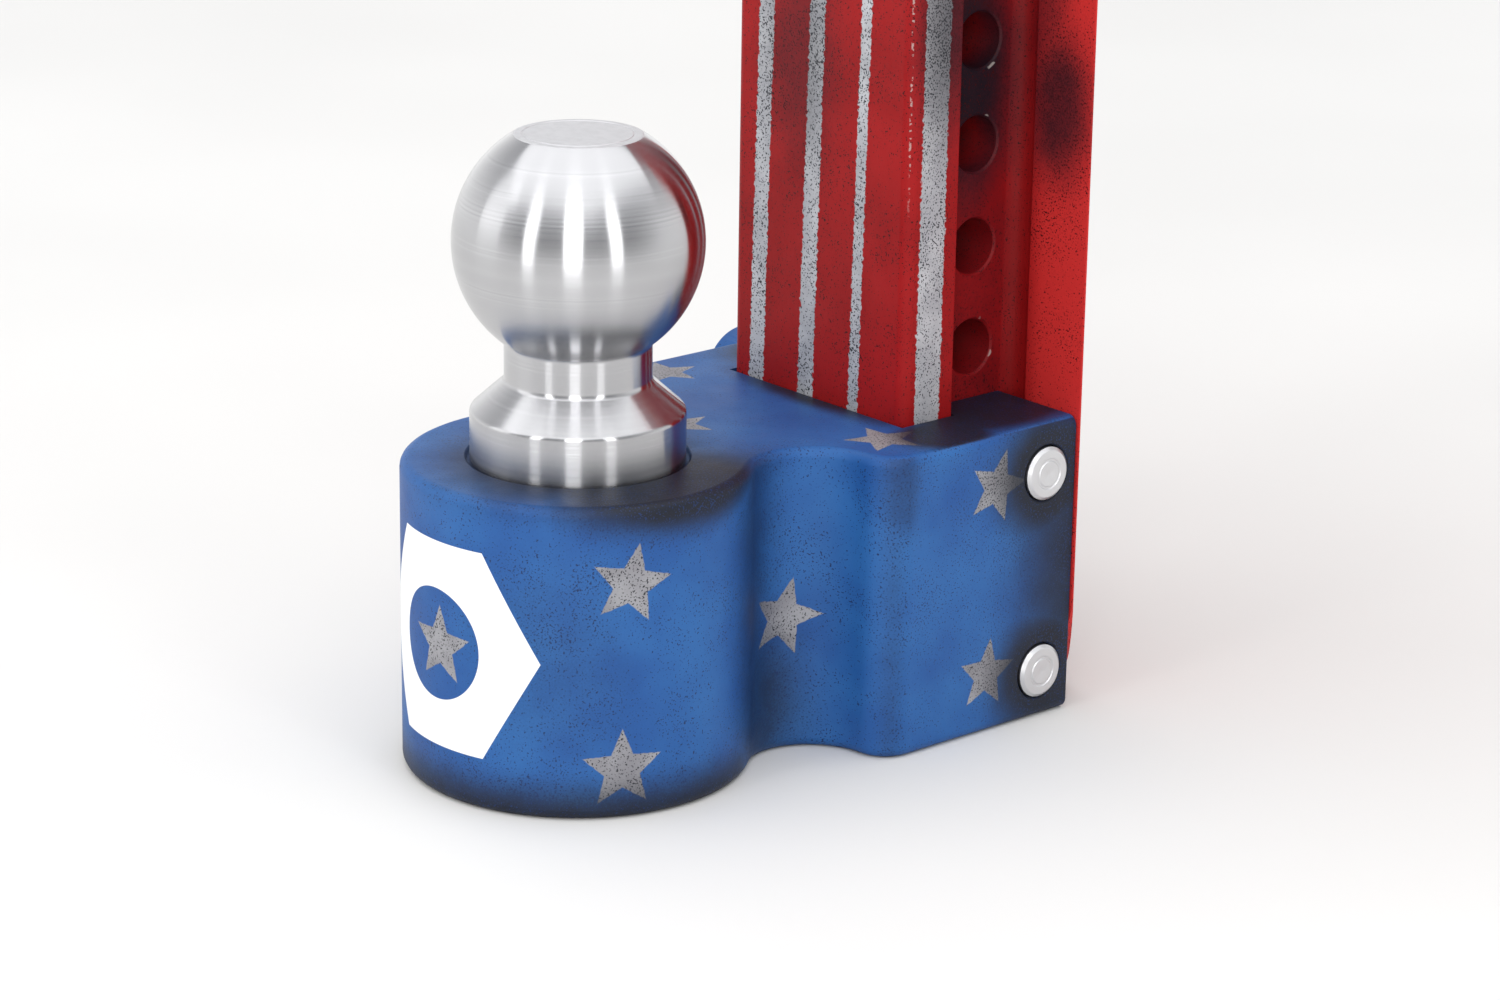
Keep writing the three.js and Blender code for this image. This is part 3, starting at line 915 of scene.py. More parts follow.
@dataclass(frozen=True)
class BeamPaint:
    """Red sprayed coat of the beam, with silver stripes left bare down the head."""

    coat: SprayedCoat = SprayedCoat(
        name="matt red paint over silver",
        light="#9C1618",
        body="#890F12",
        # bright: the colour of the painted light on the outer flange
        bright="#C02C2B",
        shade="#17141D",
        speck="#3A0C10",
        bare="#BEBFC3",
        bare_shade="#A6A7AC",
        shine=0.14,
    )
    # x of both edges at the foot of the head and their lean over 100 mm of height
    front_stripes: tuple[Place, ...] = ((-24.8, -19.5, 2.1), (-6.7, -1.2, 2.2), (11.7, 15.2, 2.0))
    side_stripe: Place = (-26.4, -18.3, 0.6)
    stripe_height: float = 75.0
    # overspray over the web and flange, the head's back edge and the groove
    clouds: tuple[Patch, ...] = (
        ((23.0, -2.0, 156.0), (18.0, 24.0, 60.0), 0.95),
        ((40.0, 10.0, 150.0), (20.0, 16.0, 34.0), 0.78),
        ((34.0, 10.0, 168.0), (16.0, 14.0, 60.0), 0.55),
        ((33.0, -18.0, 172.0), (8.0, 20.0, 56.0), 0.74),
        ((-8.0, -31.0, 160.0), (24.0, 14.0, 50.0), 0.55),
        ((-31.0, -4.0, 120.0), (26.0, 34.0, 36.0), 0.6),
        ((0.0, 24.0, 70.0), (34.0, 6.0, 60.0), 0.5),
        ((0.0, 30.0, 200.0), (52.0, 18.0, 40.0), 0.6),
    )
    # strength of the painted shade in the web's recess between the head and the flange
    web_shade: float = 0.36
    chip_and_glint_size: float = 0.9
    spot_size: float = 4.0
    wear_and_highlight_strength: float = 0.45

    def make(self) -> Material:
        """Builds the material."""
        material, tree, shader = new_material(self.coat.name)
        place, apart = millimetres(tree)
        x, y, z = apart.outputs
        reach = add(tree, MATH, x, operation="ABSOLUTE")
        front = add(tree, STEP, y, LAYOUT.head_front + 2.0, LAYOUT.head_front + 1.4, **SMOOTH)
        side = add(tree, STEP, reach, LAYOUT.head_half - 0.6, LAYOUT.head_half - 0.2, **SMOOTH)
        above = add(tree, MATH, z, -self.stripe_height, operation="ADD")
        stripes = [self._stripe(tree, x, above, *stripe) for stripe in self.front_stripes]
        face = only_where(tree, front, fold(tree, "MAXIMUM", *stripes))
        flank = only_where(tree, side, self._stripe(tree, y, above, *self.side_stripe))
        depth = fold(tree, "MAXIMUM", face, flank)
        # Painted shade in the web's recess between the head and the flange, joined to the overspray mask.
        web = add(tree, STEP, reach, LAYOUT.web_half + 4.0, LAYOUT.web_half, **SMOOTH)
        inner = add(tree, STEP, add(tree, MATH, y, operation="ABSOLUTE"), 15.0, 8.0, **SMOOTH)
        shaded = fold(tree, "MULTIPLY", web, inner, self.web_shade)
        cloud = fold(tree, "MAXIMUM", spray(tree, place, self.clouds), shaded)
        # Painted light: the outer flange and what lies behind it are drawn brighter, as if more light fell
        # there.
        outer = add(tree, STEP, reach, 29.0, 38.0, **SMOOTH)
        rear = add(tree, STEP, y, 4.0, 9.0, **SMOOTH)
        painted_light = add(tree, MATH, outer, rear, operation="MULTIPLY")
        wear_and_highlight = self._wear_and_highlight(tree, place, reach, y, z)
        self.coat.paint(tree, shader, place, cloud, depth, wear_and_highlight=wear_and_highlight, painted_light=painted_light)
        return material

    def _stripe(
        self, tree: Tree, place: Input, above: Input, low: float, high: float, lean: float
    ) -> Node:
        """Depth inside one leaning stripe.

        Args:
            tree: The material's tree.
            place: Place across the stripe in millimetres.
            above: Height over the place where its edges are given.
            low: Its lower edge.
            high: Its higher edge.
            lean: How far it moves over 100 mm of height.

        Returns:
            Millimetres inside the edges, negative outside.
        """
        shifted = add(tree, MATH, above, -lean / 100.0, place, operation="MULTIPLY_ADD")
        middle = add(tree, MATH, shifted, -(low + high) / 2, operation="ADD")
        off = add(tree, MATH, middle, operation="ABSOLUTE")
        return add(tree, MATH, (high - low) / 2, off, operation="SUBTRACT")

    def _wear_and_highlight(self, tree: Tree, place: Input, reach: Input, y: Input, z: Input) -> Input:
        """Scuffed metal and painted highlights: pale dots down the head's front edges, partly chipped paint
        and partly a painted highlight on the rounded edge, and spots on the rims of the holes, partly scuffed
        metal and partly a painted highlight on the rims.

        Args:
            tree: The material's tree.
            place: Coordinates in millimetres.
            reach: Distance from the middle plane.
            y: Place from front to back.
            z: Height.

        Returns:
            A mask from 0 to 1.
        """
        # Pale dots high up along the head's front edges: partly chipped paint, partly a painted highlight on
        # the rounded edge.
        edge_x = add(tree, MATH, reach, -(LAYOUT.head_half - 0.9), operation="ADD")
        edge_y = add(tree, MATH, y, -(LAYOUT.head_front + 0.9), operation="ADD")
        line = add(tree, STEP, distance(tree, edge_x, edge_y), 0.4, 0.15, **SMOOTH)
        high = add(tree, STEP, z, 124.0, 140.0, **SMOOTH)
        chips_and_glints = add(tree, NOISE, place, None, 1 / self.chip_and_glint_size, 2.0)
        chips_and_glints = add(tree, STEP, chips_and_glints, 0.54, 0.6, **SMOOTH)
        # Spots on the rims of the holes in the web: partly scuffed metal, partly a painted highlight on the
        # rims.
        above = add(tree, MATH, z, -LAYOUT.lowest_hole, operation="ADD")
        half = LAYOUT.hole_pitch / 2
        cell = add(tree, MATH, above, half, -half, operation="WRAP")
        off = add(tree, MATH, distance(tree, y, cell), -(LAYOUT.hole_radius + 0.7), operation="ADD")
        rim = add(tree, STEP, add(tree, MATH, off, operation="ABSOLUTE"), 0.55, 0.3, **SMOOTH)
        near = add(tree, STEP, reach, LAYOUT.web_half + 1.0, LAYOUT.web_half + 0.5, **SMOOTH)
        spots = add(tree, NOISE, place, None, 1 / self.spot_size, 1.0)
        spots = add(tree, STEP, spots, 0.66, 0.70, **SMOOTH)
        dots = fold(tree, "MULTIPLY", line, high, chips_and_glints)
        rims = fold(tree, "MULTIPLY", rim, near, spots)
        most = fold(tree, "MAXIMUM", dots, rims)
        return add(tree, MATH, most, self.wear_and_highlight_strength, operation="MULTIPLY")


@dataclass(frozen=True)
class MountPaint:
    """Blue sprayed coat of the ball mount, with stars left bare and a plain white mark on the boss."""

    coat: SprayedCoat = SprayedCoat(
        name="matt blue paint over silver",
        light="#28609F",
        body="#1B4D8E",
        shade="#141926",
        speck="#152C56",
        bare="#A0A0A4",
        bare_shade="#88878C",
        raggedness=0.5,
    )
    # stars round the side: place along the outline, height, radius and tilt
    side_stars: tuple[Star, ...] = (
        (1.4, 37.9, 9.8, 0.0),
        (49.8, 57.1, 9.9, 11.0),
        (47.8, 12.3, 9.9, 0.0),
        (108.8, 34.0, 10.2, 16.0),
        (169.3, 62.7, 9.5, 18.0),
        (167.7, 15.3, 9.3, 7.0),
        (-52.0, 52.0, 9.9, -8.0),
        (-48.0, 14.0, 9.8, 6.0),
        (-110.0, 40.0, 10.0, -14.0),
        (-152.0, 58.0, 9.6, 10.0),
        (-150.0, 16.0, 9.6, -6.0),
    )
    # stars on the top face: x, y, radius and tilt
    top_stars: tuple[Star, ...] = (
        (-39.8, -44.8, 9.3, 4.0),
        (-3.6, -70.9, 9.4, -6.0),
        (35.6, -40.0, 9.8, -2.0),
    )
    mark_height: float = 38.0
    mark_flat: float = 25.0
    mark_hole: float = 13.5
    # darker in the valleys beside the boss and at the shoulder: place along the outline, half width
    # and strength
    valleys: tuple[Place, ...] = ((95.0, 23.0, 0.62), (137.5, 7.0, 0.36))
    # overspray on the side, by place along the outline and height: the ear round its pins on the right alone,
    # the boss and the waist
    side_clouds: tuple[Patch, ...] = (
        ((210.0, 40.0, 0.0), (52.0, 90.0, 1.0), 1.0),
        ((30.0, 40.0, 0.0), (36.0, 46.0, 1.0), 0.3),
        ((188.0, LAYOUT.pin_height(Side.LOWER), 0.0), (30.0, 27.0, 1.0), 1.15),
        ((188.0, LAYOUT.pin_height(Side.UPPER), 0.0), (30.0, 27.0, 1.0), 1.15),
        ((101.0, 12.0, 0.0), (24.0, 40.0, 1.0), 0.7),
        ((139.0, 68.0, 0.0), (9.0, 26.0, 1.0), 0.5),
    )
    # overspray over the edge of the boss, thick round the collar and at the front right
    edge_clouds: tuple[Patch, ...] = (
        ((6.0, -110.0, 79.0), (54.0, 52.0, 18.0), 1.15),
        ((33.0, -104.0, 80.0), (48.0, 50.0, 19.0), 1.4),
    )
    # painted shade on top alone, where the beam stands on it: beside the beam, round its head and along its
    # foot
    beam_foot_shade: tuple[Patch, ...] = (
        ((34.0, -4.0, 75.0), (22.0, 38.0, 20.0), 1.5),
        ((42.0, -26.0, 75.0), (17.0, 20.0, 20.0), 1.35),
        ((0.0, -29.0, 75.0), (50.0, 12.0, 12.0), 1.0),
        ((-36.0, -10.0, 75.0), (24.0, 26.0, 20.0), 0.9),
    )

    def make(self) -> Material:
        """Builds the material."""
        material, tree, shader = new_material(self.coat.name)
        place, apart = millimetres(tree)
        x, y, z = apart.outputs
        wrap = add(tree, "ShaderNodeAttribute", attribute_name="wrap")
        along, height, _ = add(tree, SEPARATE, wrap.outputs["Vector"]).outputs
        top = add(tree, STEP, z, LAYOUT.mount_height - 0.7, LAYOUT.mount_height - 0.2, **SMOOTH)
        round_side = stars(tree, along, height, self.side_stars)
        gap = add(tree, MATH, stars(tree, x, y, self.top_stars), round_side, operation="SUBTRACT")
        depth = add(tree, MATH, gap, top, round_side, operation="MULTIPLY_ADD")
        cloud = self._overspray_and_shade(tree, place, along, height, top)
        white = self._mark(tree, along, height)
        self.coat.paint(tree, shader, place, cloud, depth, extra=white)
        return material

    def _overspray_and_shade(self, tree: Tree, place: Input, along: Input, height: Input, top: Input) -> Input:
        """The dark overspray, darker bands in the valleys and at the foot of the boss, and painted shade on
        the top face round the beam's foot.

        Args:
            tree: The material's tree.
            place: Coordinates in millimetres.
            along: Place along the block's outline.
            height: Height on its side.
            top: Mask of the top face.

        Returns:
            A mask from 0 to 1.
        """
        reach = add(tree, MATH, along, operation="ABSOLUTE")
        bands = [spray(tree, add(tree, COMBINE, along, height), self.side_clouds)]
        for centre, width, strength in self.valleys:
            off = add(tree, MATH, reach, -centre, operation="ADD")
            gap = add(tree, MATH, off, operation="ABSOLUTE")
            soft = add(tree, STEP, gap, width, 0.0, **SMOOTH)
            bands.append(add(tree, MATH, soft, strength, operation="MULTIPLY"))
        # The foot of the boss, all the way round.
        foot = add(tree, STEP, height, 17.0, -2.0, **SMOOTH)
        boss = add(tree, STEP, reach, 100.0, 84.0, **SMOOTH)
        bands.append(add(tree, MATH, foot, boss, operation="MULTIPLY"))
        side = add(tree, MATH, 1.0, top, operation="SUBTRACT")
        lined = fold(tree, "MULTIPLY", fold(tree, "MAXIMUM", *bands), side)
        # Painted shade on the top face round the beam's foot, where the beam stands on it.
        topped = fold(tree, "MULTIPLY", spray(tree, place, self.beam_foot_shade), top)
        return fold(tree, "MAXIMUM", lined, topped, spray(tree, place, self.edge_clouds))

    def _mark(self, tree: Tree, along: Input, height: Input) -> Node:
        """A plain hexagonal ring on the front of the boss.

        Args:
            tree: The material's tree.
            along: Place along the block's outline.
            height: Height on its side.

        Returns:
            A mask from 0 to 1.
        """
        soft = 0.08
        up = add(tree, MATH, height, -self.mark_height, operation="ADD")
        angle = add(tree, MATH, along, up, operation="ARCTAN2")
        sixth = math.pi / 6
        folded = add(tree, MATH, angle, sixth, -sixth, operation="WRAP")
        cosine = add(tree, MATH, folded, operation="COSINE")
        far = distance(tree, along, up)
        flat = add(tree, MATH, far, cosine, operation="MULTIPLY")
        outer = add(tree, STEP, flat, self.mark_flat + soft, self.mark_flat - soft, **SMOOTH)
        inner = add(tree, STEP, far, self.mark_hole - soft, self.mark_hole + soft, **SMOOTH)
        return add(tree, MATH, outer, inner, operation="MULTIPLY")


@dataclass(frozen=True)
class TurnedSteel:
    """Stainless steel fresh from a lathe: fine rings round the axis that draw highlights out along it."""

    name: str
    colour: str = "#C6C6C8"
    roughness: float = 0.22
    anisotropy: float = 1.0
    axis: str = "Z"
    ring_pitch: float = 0.5

    def make(self) -> Material:
        """Builds the material."""
        material, tree, shader = new_material(self.name)
        _, apart = millimetres(tree)
        # Rings are a function of the place along the axis alone; real ones are 0.1 mm apart.
        only = add(tree, COMBINE, apart.outputs[self.axis])
        rings = add(tree, NOISE, only, None, 1 / self.ring_pitch, 2.0)
        bands = add(tree, NOISE, only, None, 1 / (self.ring_pitch * 9), 1.0)
        pale = Vector(linear(self.colour))
        ringed = add(tree, STEP, rings, 0.3, 0.7, **SMOOTH)
        banded = add(tree, STEP, bands, 0.42, 0.62, **SMOOTH)
        colour = add(tree, MIX, ringed, tuple(pale * 0.86), tuple(pale))
        colour = add(tree, MIX, banded, tuple(pale * 0.9), colour)
        bump = {"Strength": 0.10, "Distance": 0.0001, "Height": rings}
        feed(
            tree,
            shader,
            {
                "Base Color": colour,
                "Metallic": 1.0,
                "Roughness": add(tree, MATH, rings, 0.10, self.roughness - 0.05, operation="MULTIPLY_ADD"),
                "Anisotropic": self.anisotropy,
                # A quarter turn: the highlight runs out across the rings.
                "Anisotropic Rotation": 0.25,
                "Tangent": add(tree, "ShaderNodeTangent", direction_type="RADIAL", axis=self.axis),
                "Normal": add(tree, "ShaderNodeBump", named=bump),
            },
        )
        return material


@dataclass(frozen=True)
class PlatedMetal:
    """A small metal part as plated or drawn: even, slightly cloudy, with fine handling marks."""

    name: str
    colour: str
    roughness: float = 0.32
    cloud_size: float = 3.0
    cloud_depth: float = 0.22
    mark_size: float = 0.5

    def make(self) -> Material:
        """Builds the material."""
        material, tree, shader = new_material(self.name)
        place, _ = millimetres(tree)
        cloud = add(tree, NOISE, place, None, 1 / self.cloud_size, 4.0)
        pale = Vector(linear(self.colour))
        clear = add(tree, STEP, cloud, 0.35, 0.65, **SMOOTH)
        marks = add(tree, NOISE, place, None, 1 / self.mark_size, 3.0)
        bump = {"Strength": 0.12, "Distance": 0.0001, "Height": marks}
        feed(
            tree,
            shader,
            {
                "Base Color": add(tree, MIX, clear, tuple(pale * (1 - self.cloud_depth)), tuple(pale)),
                "Metallic": 1.0,
                "Roughness": add(tree, MATH, cloud, 0.3, self.roughness - 0.15, operation="MULTIPLY_ADD"),
                "Normal": add(tree, "ShaderNodeBump", named=bump),
            },
        )
        return material


@dataclass(frozen=True)
class MouldedRubber:
    """Black moulded rubber: dull, faintly grained, paler where it is dusty."""

    name: str = "moulded black rubber"
    colour: str = "#1A1B1D"
    dust: str = "#33353A"
    roughness: float = 0.7
    dust_size: float = 5.0
    grain_size: float = 0.4

    def make(self) -> Material:
        """Builds the material."""
        material, tree, shader = new_material(self.name)
        place, _ = millimetres(tree)
        dusty = add(tree, NOISE, place, None, 1 / self.dust_size, 4.0)
        dusty = add(tree, STEP, dusty, 0.5, 0.8, **SMOOTH)
        grain = add(tree, NOISE, place, None, 1 / self.grain_size)
        bump = {"Strength": 0.2, "Distance": 0.0001, "Height": grain}
        feed(
            tree,
            shader,
            {
                "Base Color": add(tree, MIX, dusty, linear(self.colour), linear(self.dust)),
                "Roughness": self.roughness,
                "Normal": add(tree, "ShaderNodeBump", named=bump),
            },
        )
        return material


class Finishes:
    """Every material of the hitch, made once."""

    def __init__(self) -> None:
        """Makes the materials."""
        self.red = BeamPaint().make()
        self.blue = MountPaint().make()
        self.ball = TurnedSteel("turned stainless steel").make()
        self.faced = PlatedMetal("faced stainless steel", "#CFCFD1", 0.55, 2.0, 0.06).make()
        self.pin = TurnedSteel("ground stainless steel", "#DEDEE0", 0.34, 0.3, "X", 0.8).make()
        self.zinc = PlatedMetal("bright zinc plate", "#B4B7BC").make()
        self.brass = PlatedMetal("drawn brass", "#B8954E").make()
        self.rubber = MouldedRubber().make()

    def by_slot(self) -> dict[str, Material]:
        """The finishes by the record's slot names."""
        return {
            "red_paint": self.red,
            "blue_paint": self.blue,
            "turned_steel": self.ball,
            "pin_steel": self.pin,
            "zinc": self.zinc,
            "brass": self.brass,
            "black_rubber": self.rubber,
        }


# ---- drawbar ----


@dataclass
class Drawbar:
    """The beam with its hole row, and the square shank on its back."""

    head_edge: float = 3.0
    flange_depth: float = 12.7
    flange_slope: float = 14.0
    flange_edge: float = 1.0
    cove_width: float = 9.5
    cove_depth: float = 3.8
    foot_round: float = 32.0
    top_round: float = 18.0
    height: float = 228.6
    shank_size: float = 50.8
    shank_length: float = 215.0
    shank_edge: float = 3.0
    shank_hole: float = 8.15
    shank_hole_to_end: float = 67.0
    gusset_round: float = 16.0
    end_round: float = 0.2
    hole_flare: float = 0.5

    @property
    def flange_back(self) -> float:
        """Back face of the flange."""
        return LAYOUT.flange_front + self.flange_depth

    def section(self) -> list[Point]:
        """Outline of the beam in X and Y."""
        head, web, flange = LAYOUT.head_half, LAYOUT.web_half, LAYOUT.flange_half
        front, back = LAYOUT.head_front, LAYOUT.head_back
        cove = ((self.cove_width / 2) ** 2 + self.cove_depth**2) / (2 * self.cove_depth)
        reach = math.asin(self.cove_width / 2 / cove)
        cove_y = LAYOUT.flange_front + self.cove_depth - cove
        soft = self.flange_edge
        rear = [
            (web + self.cove_width, LAYOUT.flange_front),
            (flange, LAYOUT.flange_front),
            (flange - self.flange_slope, self.flange_back),
            (0.0, self.flange_back),
        ]
        edge = self.head_edge
        middle = web + self.cove_width / 2
        quarter = math.pi / 2
        return [
            *arc((head - edge, front + edge), edge, -quarter, 0, math.radians(9)),
            *arc((head - 0.8, back - 0.8), 0.8, 0, quarter, math.radians(30)),
            *arc((web + 1.2, back + 1.2), 1.2, -quarter, -math.pi, math.radians(30)),
            *arc((middle, cove_y), cove, quarter + reach, quarter - reach, math.radians(8)),
            *rounded_profile(rear, {1: soft, 2: soft})[1:-1],
        ]

    def corner_tools(self) -> list[Piece]:
        """Blocks that round the four corners of the flange."""
        tools = []
        margin = 6.0
        reach = LAYOUT.flange_half
        swap = Matrix(((1, 0, 0, 0), (0, 0, 1, 0), (0, 1, 0, 0), (0, 0, 0, 1)))
        lay = upright(y=LAYOUT.flange_front - 0.05) @ swap
        for side in (1, -1):
            for radius, corner, way in ((self.foot_round, 0.0, 1), (self.top_round, self.height, -1)):
                points = arc((reach - radius, radius), radius, -math.pi / 2, 0)
                points += [(reach + margin, radius), (reach + margin, -margin), (reach - radius, -margin)]
                placed = [(side * px, corner + way * pz) for px, pz in points]
                tools.append(prism("corner", placed, 0.0, self.flange_depth + margin, turn=lay))
        return tools

    def shank(self) -> list[Piece]:
        """The square bar with rounded edges, and the gusset under it."""
        half = self.shank_size / 2
        edge = self.shank_edge
        inner = half - edge
        square: list[Point] = []
        for i, (x, y) in enumerate(((1, -1), (1, 1), (-1, 1), (-1, -1))):
            start = (i - 1) * math.pi / 2
            square += arc((x * inner, y * inner), edge, start, start + math.pi / 2, math.radians(10))
        sunk = self.flange_depth / 2
        back = self.flange_back
        radius = self.gusset_round
        lay = upright(y=back - sunk, z=self.height - half) @ Matrix.Rotation(-math.pi / 2, 4, "X")
        bar = prism("bar", square, 0.0, self.shank_length + sunk, edge / 2, lay)
        wedge = [
            (back - sunk, -radius),
            (back, -radius),
            *arc((back + radius, -radius), radius, math.pi, math.pi / 2)[1:],
            (back + radius, half / 2),
            (back - sunk, half / 2),
        ]
        width = self.shank_size - 2 * edge
        gusset = prism("gusset", wedge, 0.0, width, turn=standing(-width / 2, self.height - self.shank_size))
        return [bar, gusset]

    def build(self, finishes: Finishes) -> Piece:
        """Makes the beam and shank as one piece.

        Args:
            finishes: The materials.

        Returns:
            The finished piece.
        """
        beam = prism("hitch_drawbar", mirrored(self.section()), 0.0, self.height, self.end_round)
        combine(beam, self.corner_tools(), "DIFFERENCE")
        combine(beam, self.shank(), "UNION")
        row = grown(
            "holes",
            hole_row_tree(),
            {
                "Count": LAYOUT.hole_count,
                "Pitch": (0.0, 0.0, LAYOUT.hole_pitch * MM),
                "Start": (0.0, 0.0, LAYOUT.lowest_hole * MM),
                "Radius": LAYOUT.hole_radius * MM,
                "Flare": self.hole_flare * MM,
                "Half Width": LAYOUT.web_half * MM,
                "Reach": 2 * (LAYOUT.web_half + 4.0) * MM,
                "Material": finishes.red,
            },
        )
        reach = LAYOUT.flange_half
        end = self.flange_back + self.shank_length - self.shank_hole_to_end
        half = self.shank_size / 2
        flare = self.hole_flare
        profile = [(0, -reach), (self.shank_hole + 8, -reach)]
        profile += [(self.shank_hole + 8, -half - 8 + flare), (self.shank_hole, -half + flare)]
        profile += [(r, -h) for r, h in reversed(profile)]
        bore = turned("bore", profile, across(end, self.height - half), HOLE_SIDES)
        combine(beam, [row, bore], "DIFFERENCE")
        dress(beam, finishes.red)
        hand_over(beam, "drawbar", "red_paint", "drawbar")
        return beam


# ---- ball mount ----


@dataclass
class BallMount:
    """The sliding block: boss, waist, shoulders, ears and the lock pad on the far ear."""

    boss_radius: float = 41.7
    waist_half: float = 27.8
    waist_round: float = 15.0
    shoulder_round: float = 9.0
    edge_round: float = 2.6
    stud_bore: float = 16.675
    collar_bore: float = 26.15
    recess_radius: float = 31.0
    recess_top: float = 35.6
    bore_inner: float = -39.6
    groove_outer: float = -50.2
    groove_inner: float = -45.6
    cam_reach: float = 9.1
    pad_edge: float = 1.0
    rear_cut_half: float = 60.0
    rear_cut_back: float = 50.0
    channel_back: float = 40.0

    def half_outline(self, back: float) -> list[Point]:
        """Right half of the block's outline, from the front to a place behind it."""
        side = LAYOUT.mount_half
        waist_x = self.waist_half + self.waist_round
        waist_y = LAYOUT.ball_y + math.sqrt((self.boss_radius + self.waist_round) ** 2 - waist_x**2)
        shoulder_x = side - self.shoulder_round
        across_by = waist_x - shoulder_x
        shoulder_y = waist_y + math.sqrt((self.waist_round + self.shoulder_round) ** 2 - across_by**2)
        to_boss = math.atan2(LAYOUT.ball_y - waist_y, -waist_x)
        to_shoulder = math.atan2(shoulder_y - waist_y, shoulder_x - waist_x)
        boss = (0.0, LAYOUT.ball_y)
        waist = (waist_x, waist_y)
        shoulder = (shoulder_x, shoulder_y)
        return [
            *arc(boss, self.boss_radius, -math.pi / 2, to_boss + math.pi, math.radians(2.5)),
            *arc(waist, self.waist_round, to_boss + math.tau, to_shoulder, math.radians(6))[1:],
            *arc(shoulder, self.shoulder_round, to_shoulder - math.pi, 0, math.radians(8))[1:],
            (side, back),
        ]

    def cutters(self) -> list[Piece]:
        """Everything that is machined out of the block."""
        past = 12.0
        low, high = -past, LAYOUT.mount_height + past
        gap = LAYOUT.slide_gap
        pocket = (LAYOUT.head_half + gap, LAYOUT.head_front - gap, LAYOUT.head_back + gap)
        rear = (self.rear_cut_half, LAYOUT.ear_back, self.rear_cut_back)
        channel = (LAYOUT.web_half + gap, LAYOUT.head_back, self.channel_back)
        tools = []
        for half, front, back in (rear, pocket, channel):
            oblong = [(-half, front), (half, front), (half, back), (-half, back)]
            tools.append(prism("slot", oblong, low, high))
        axis = upright(y=LAYOUT.ball_y)
        seat, top, wide = LAYOUT.collar_seat - 0.3, LAYOUT.mount_height, self.collar_bore
        cup = [(0, seat), (wide, seat), (wide, top - 0.5), (wide + 2, top + 1.5), (0, top + 1.5)]
        ceiling, wide = self.recess_top, self.recess_radius
        recess = [(0, -2), (wide + 3, -2), (wide, 1.0), (wide, ceiling), (0, ceiling)]
        tools += [
            drill(self.stud_bore, low, high, axis, TURNED_SIDES),
            turned("seat", cup, axis),
            turned("recess", recess, axis),
        ]
        side = LAYOUT.mount_half
        step = LAYOUT.seat_step
        half_round = arc((0, 0), self.cam_reach, math.pi / 2, 1.5 * math.pi)
        length = self.groove_inner - self.groove_outer
        for pin in Side:
            z = LAYOUT.pin_height(pin)
            axis = across(0, z)
            groove = standing(self.groove_outer, z + LAYOUT.plug_offset)
            tools += [
                drill(LAYOUT.hole_radius, -side, side, axis, broken=0.5),
                drill(LAYOUT.body_radius + 0.3, step, LAYOUT.pad_face, axis, broken=0.6),
                drill(LAYOUT.barrel_radius + 0.3, step - 2, self.bore_inner, axis),
                prism("groove", half_round, 0.0, length, turn=groove),
            ]
        return tools

    def wrap(self, piece: Piece) -> None:
        """Stores each point's place along the outline and its height, in millimetres, as `wrap`."""
        half = [Vector(p) for p in self.half_outline(LAYOUT.ear_back + 2)]
        length = [0.0]
        for first, second in zip(half, half[1:]):
            length.append(length[-1] + (second - first).length)
        values = []
        for vertex in piece.data.vertices:
            x, y, z = vertex.co / MM
            here = Vector((abs(x), y))
            best = (1e9, 0.0)
            for i in range(len(half) - 1):
                line = half[i + 1] - half[i]
                t = max(0.0, min(1.0, (here - half[i]).dot(line) / line.length_squared))
                gap = (here - half[i] - line * t).length_squared
                if gap < best[0]:
                    best = (gap, length[i] + line.length * t)
            values.extend((math.copysign(best[1], x), z, 0.0))
        layer = piece.data.attributes.new("wrap", "FLOAT_VECTOR", "POINT")
        layer.data.foreach_set("vector", values)

    def build(self, finishes: Finishes) -> Piece:
        """Makes the block as one piece.

        Args:
            finishes: The materials.

        Returns:
            The finished piece.
        """
        outline = mirrored(self.half_outline(LAYOUT.ear_back + 12.0))
        block = prism("hitch_ball_mount", outline, 0.0, LAYOUT.mount_height, self.edge_round)
        low, high = (LAYOUT.pin_height(pin) for pin in Side)
        radius = LAYOUT.pad_radius
        ring = [*arc((0, low), radius, -math.pi, 0), *arc((0, high), radius, 0, math.pi)]
        depth = -LAYOUT.mount_half - LAYOUT.pad_face + 5.0
        pad = prism("pad", ring, 0.0, depth, self.pad_edge, standing(LAYOUT.pad_face))
        combine(block, [pad], "UNION")
        combine(block, self.cutters(), "DIFFERENCE")
        dress(block, finishes.blue)
        smooth(block)
        self.wrap(block)
        hand_over(block, "carriage", "blue_paint", "ball_mount")
        return block


# ---- tow ball ----


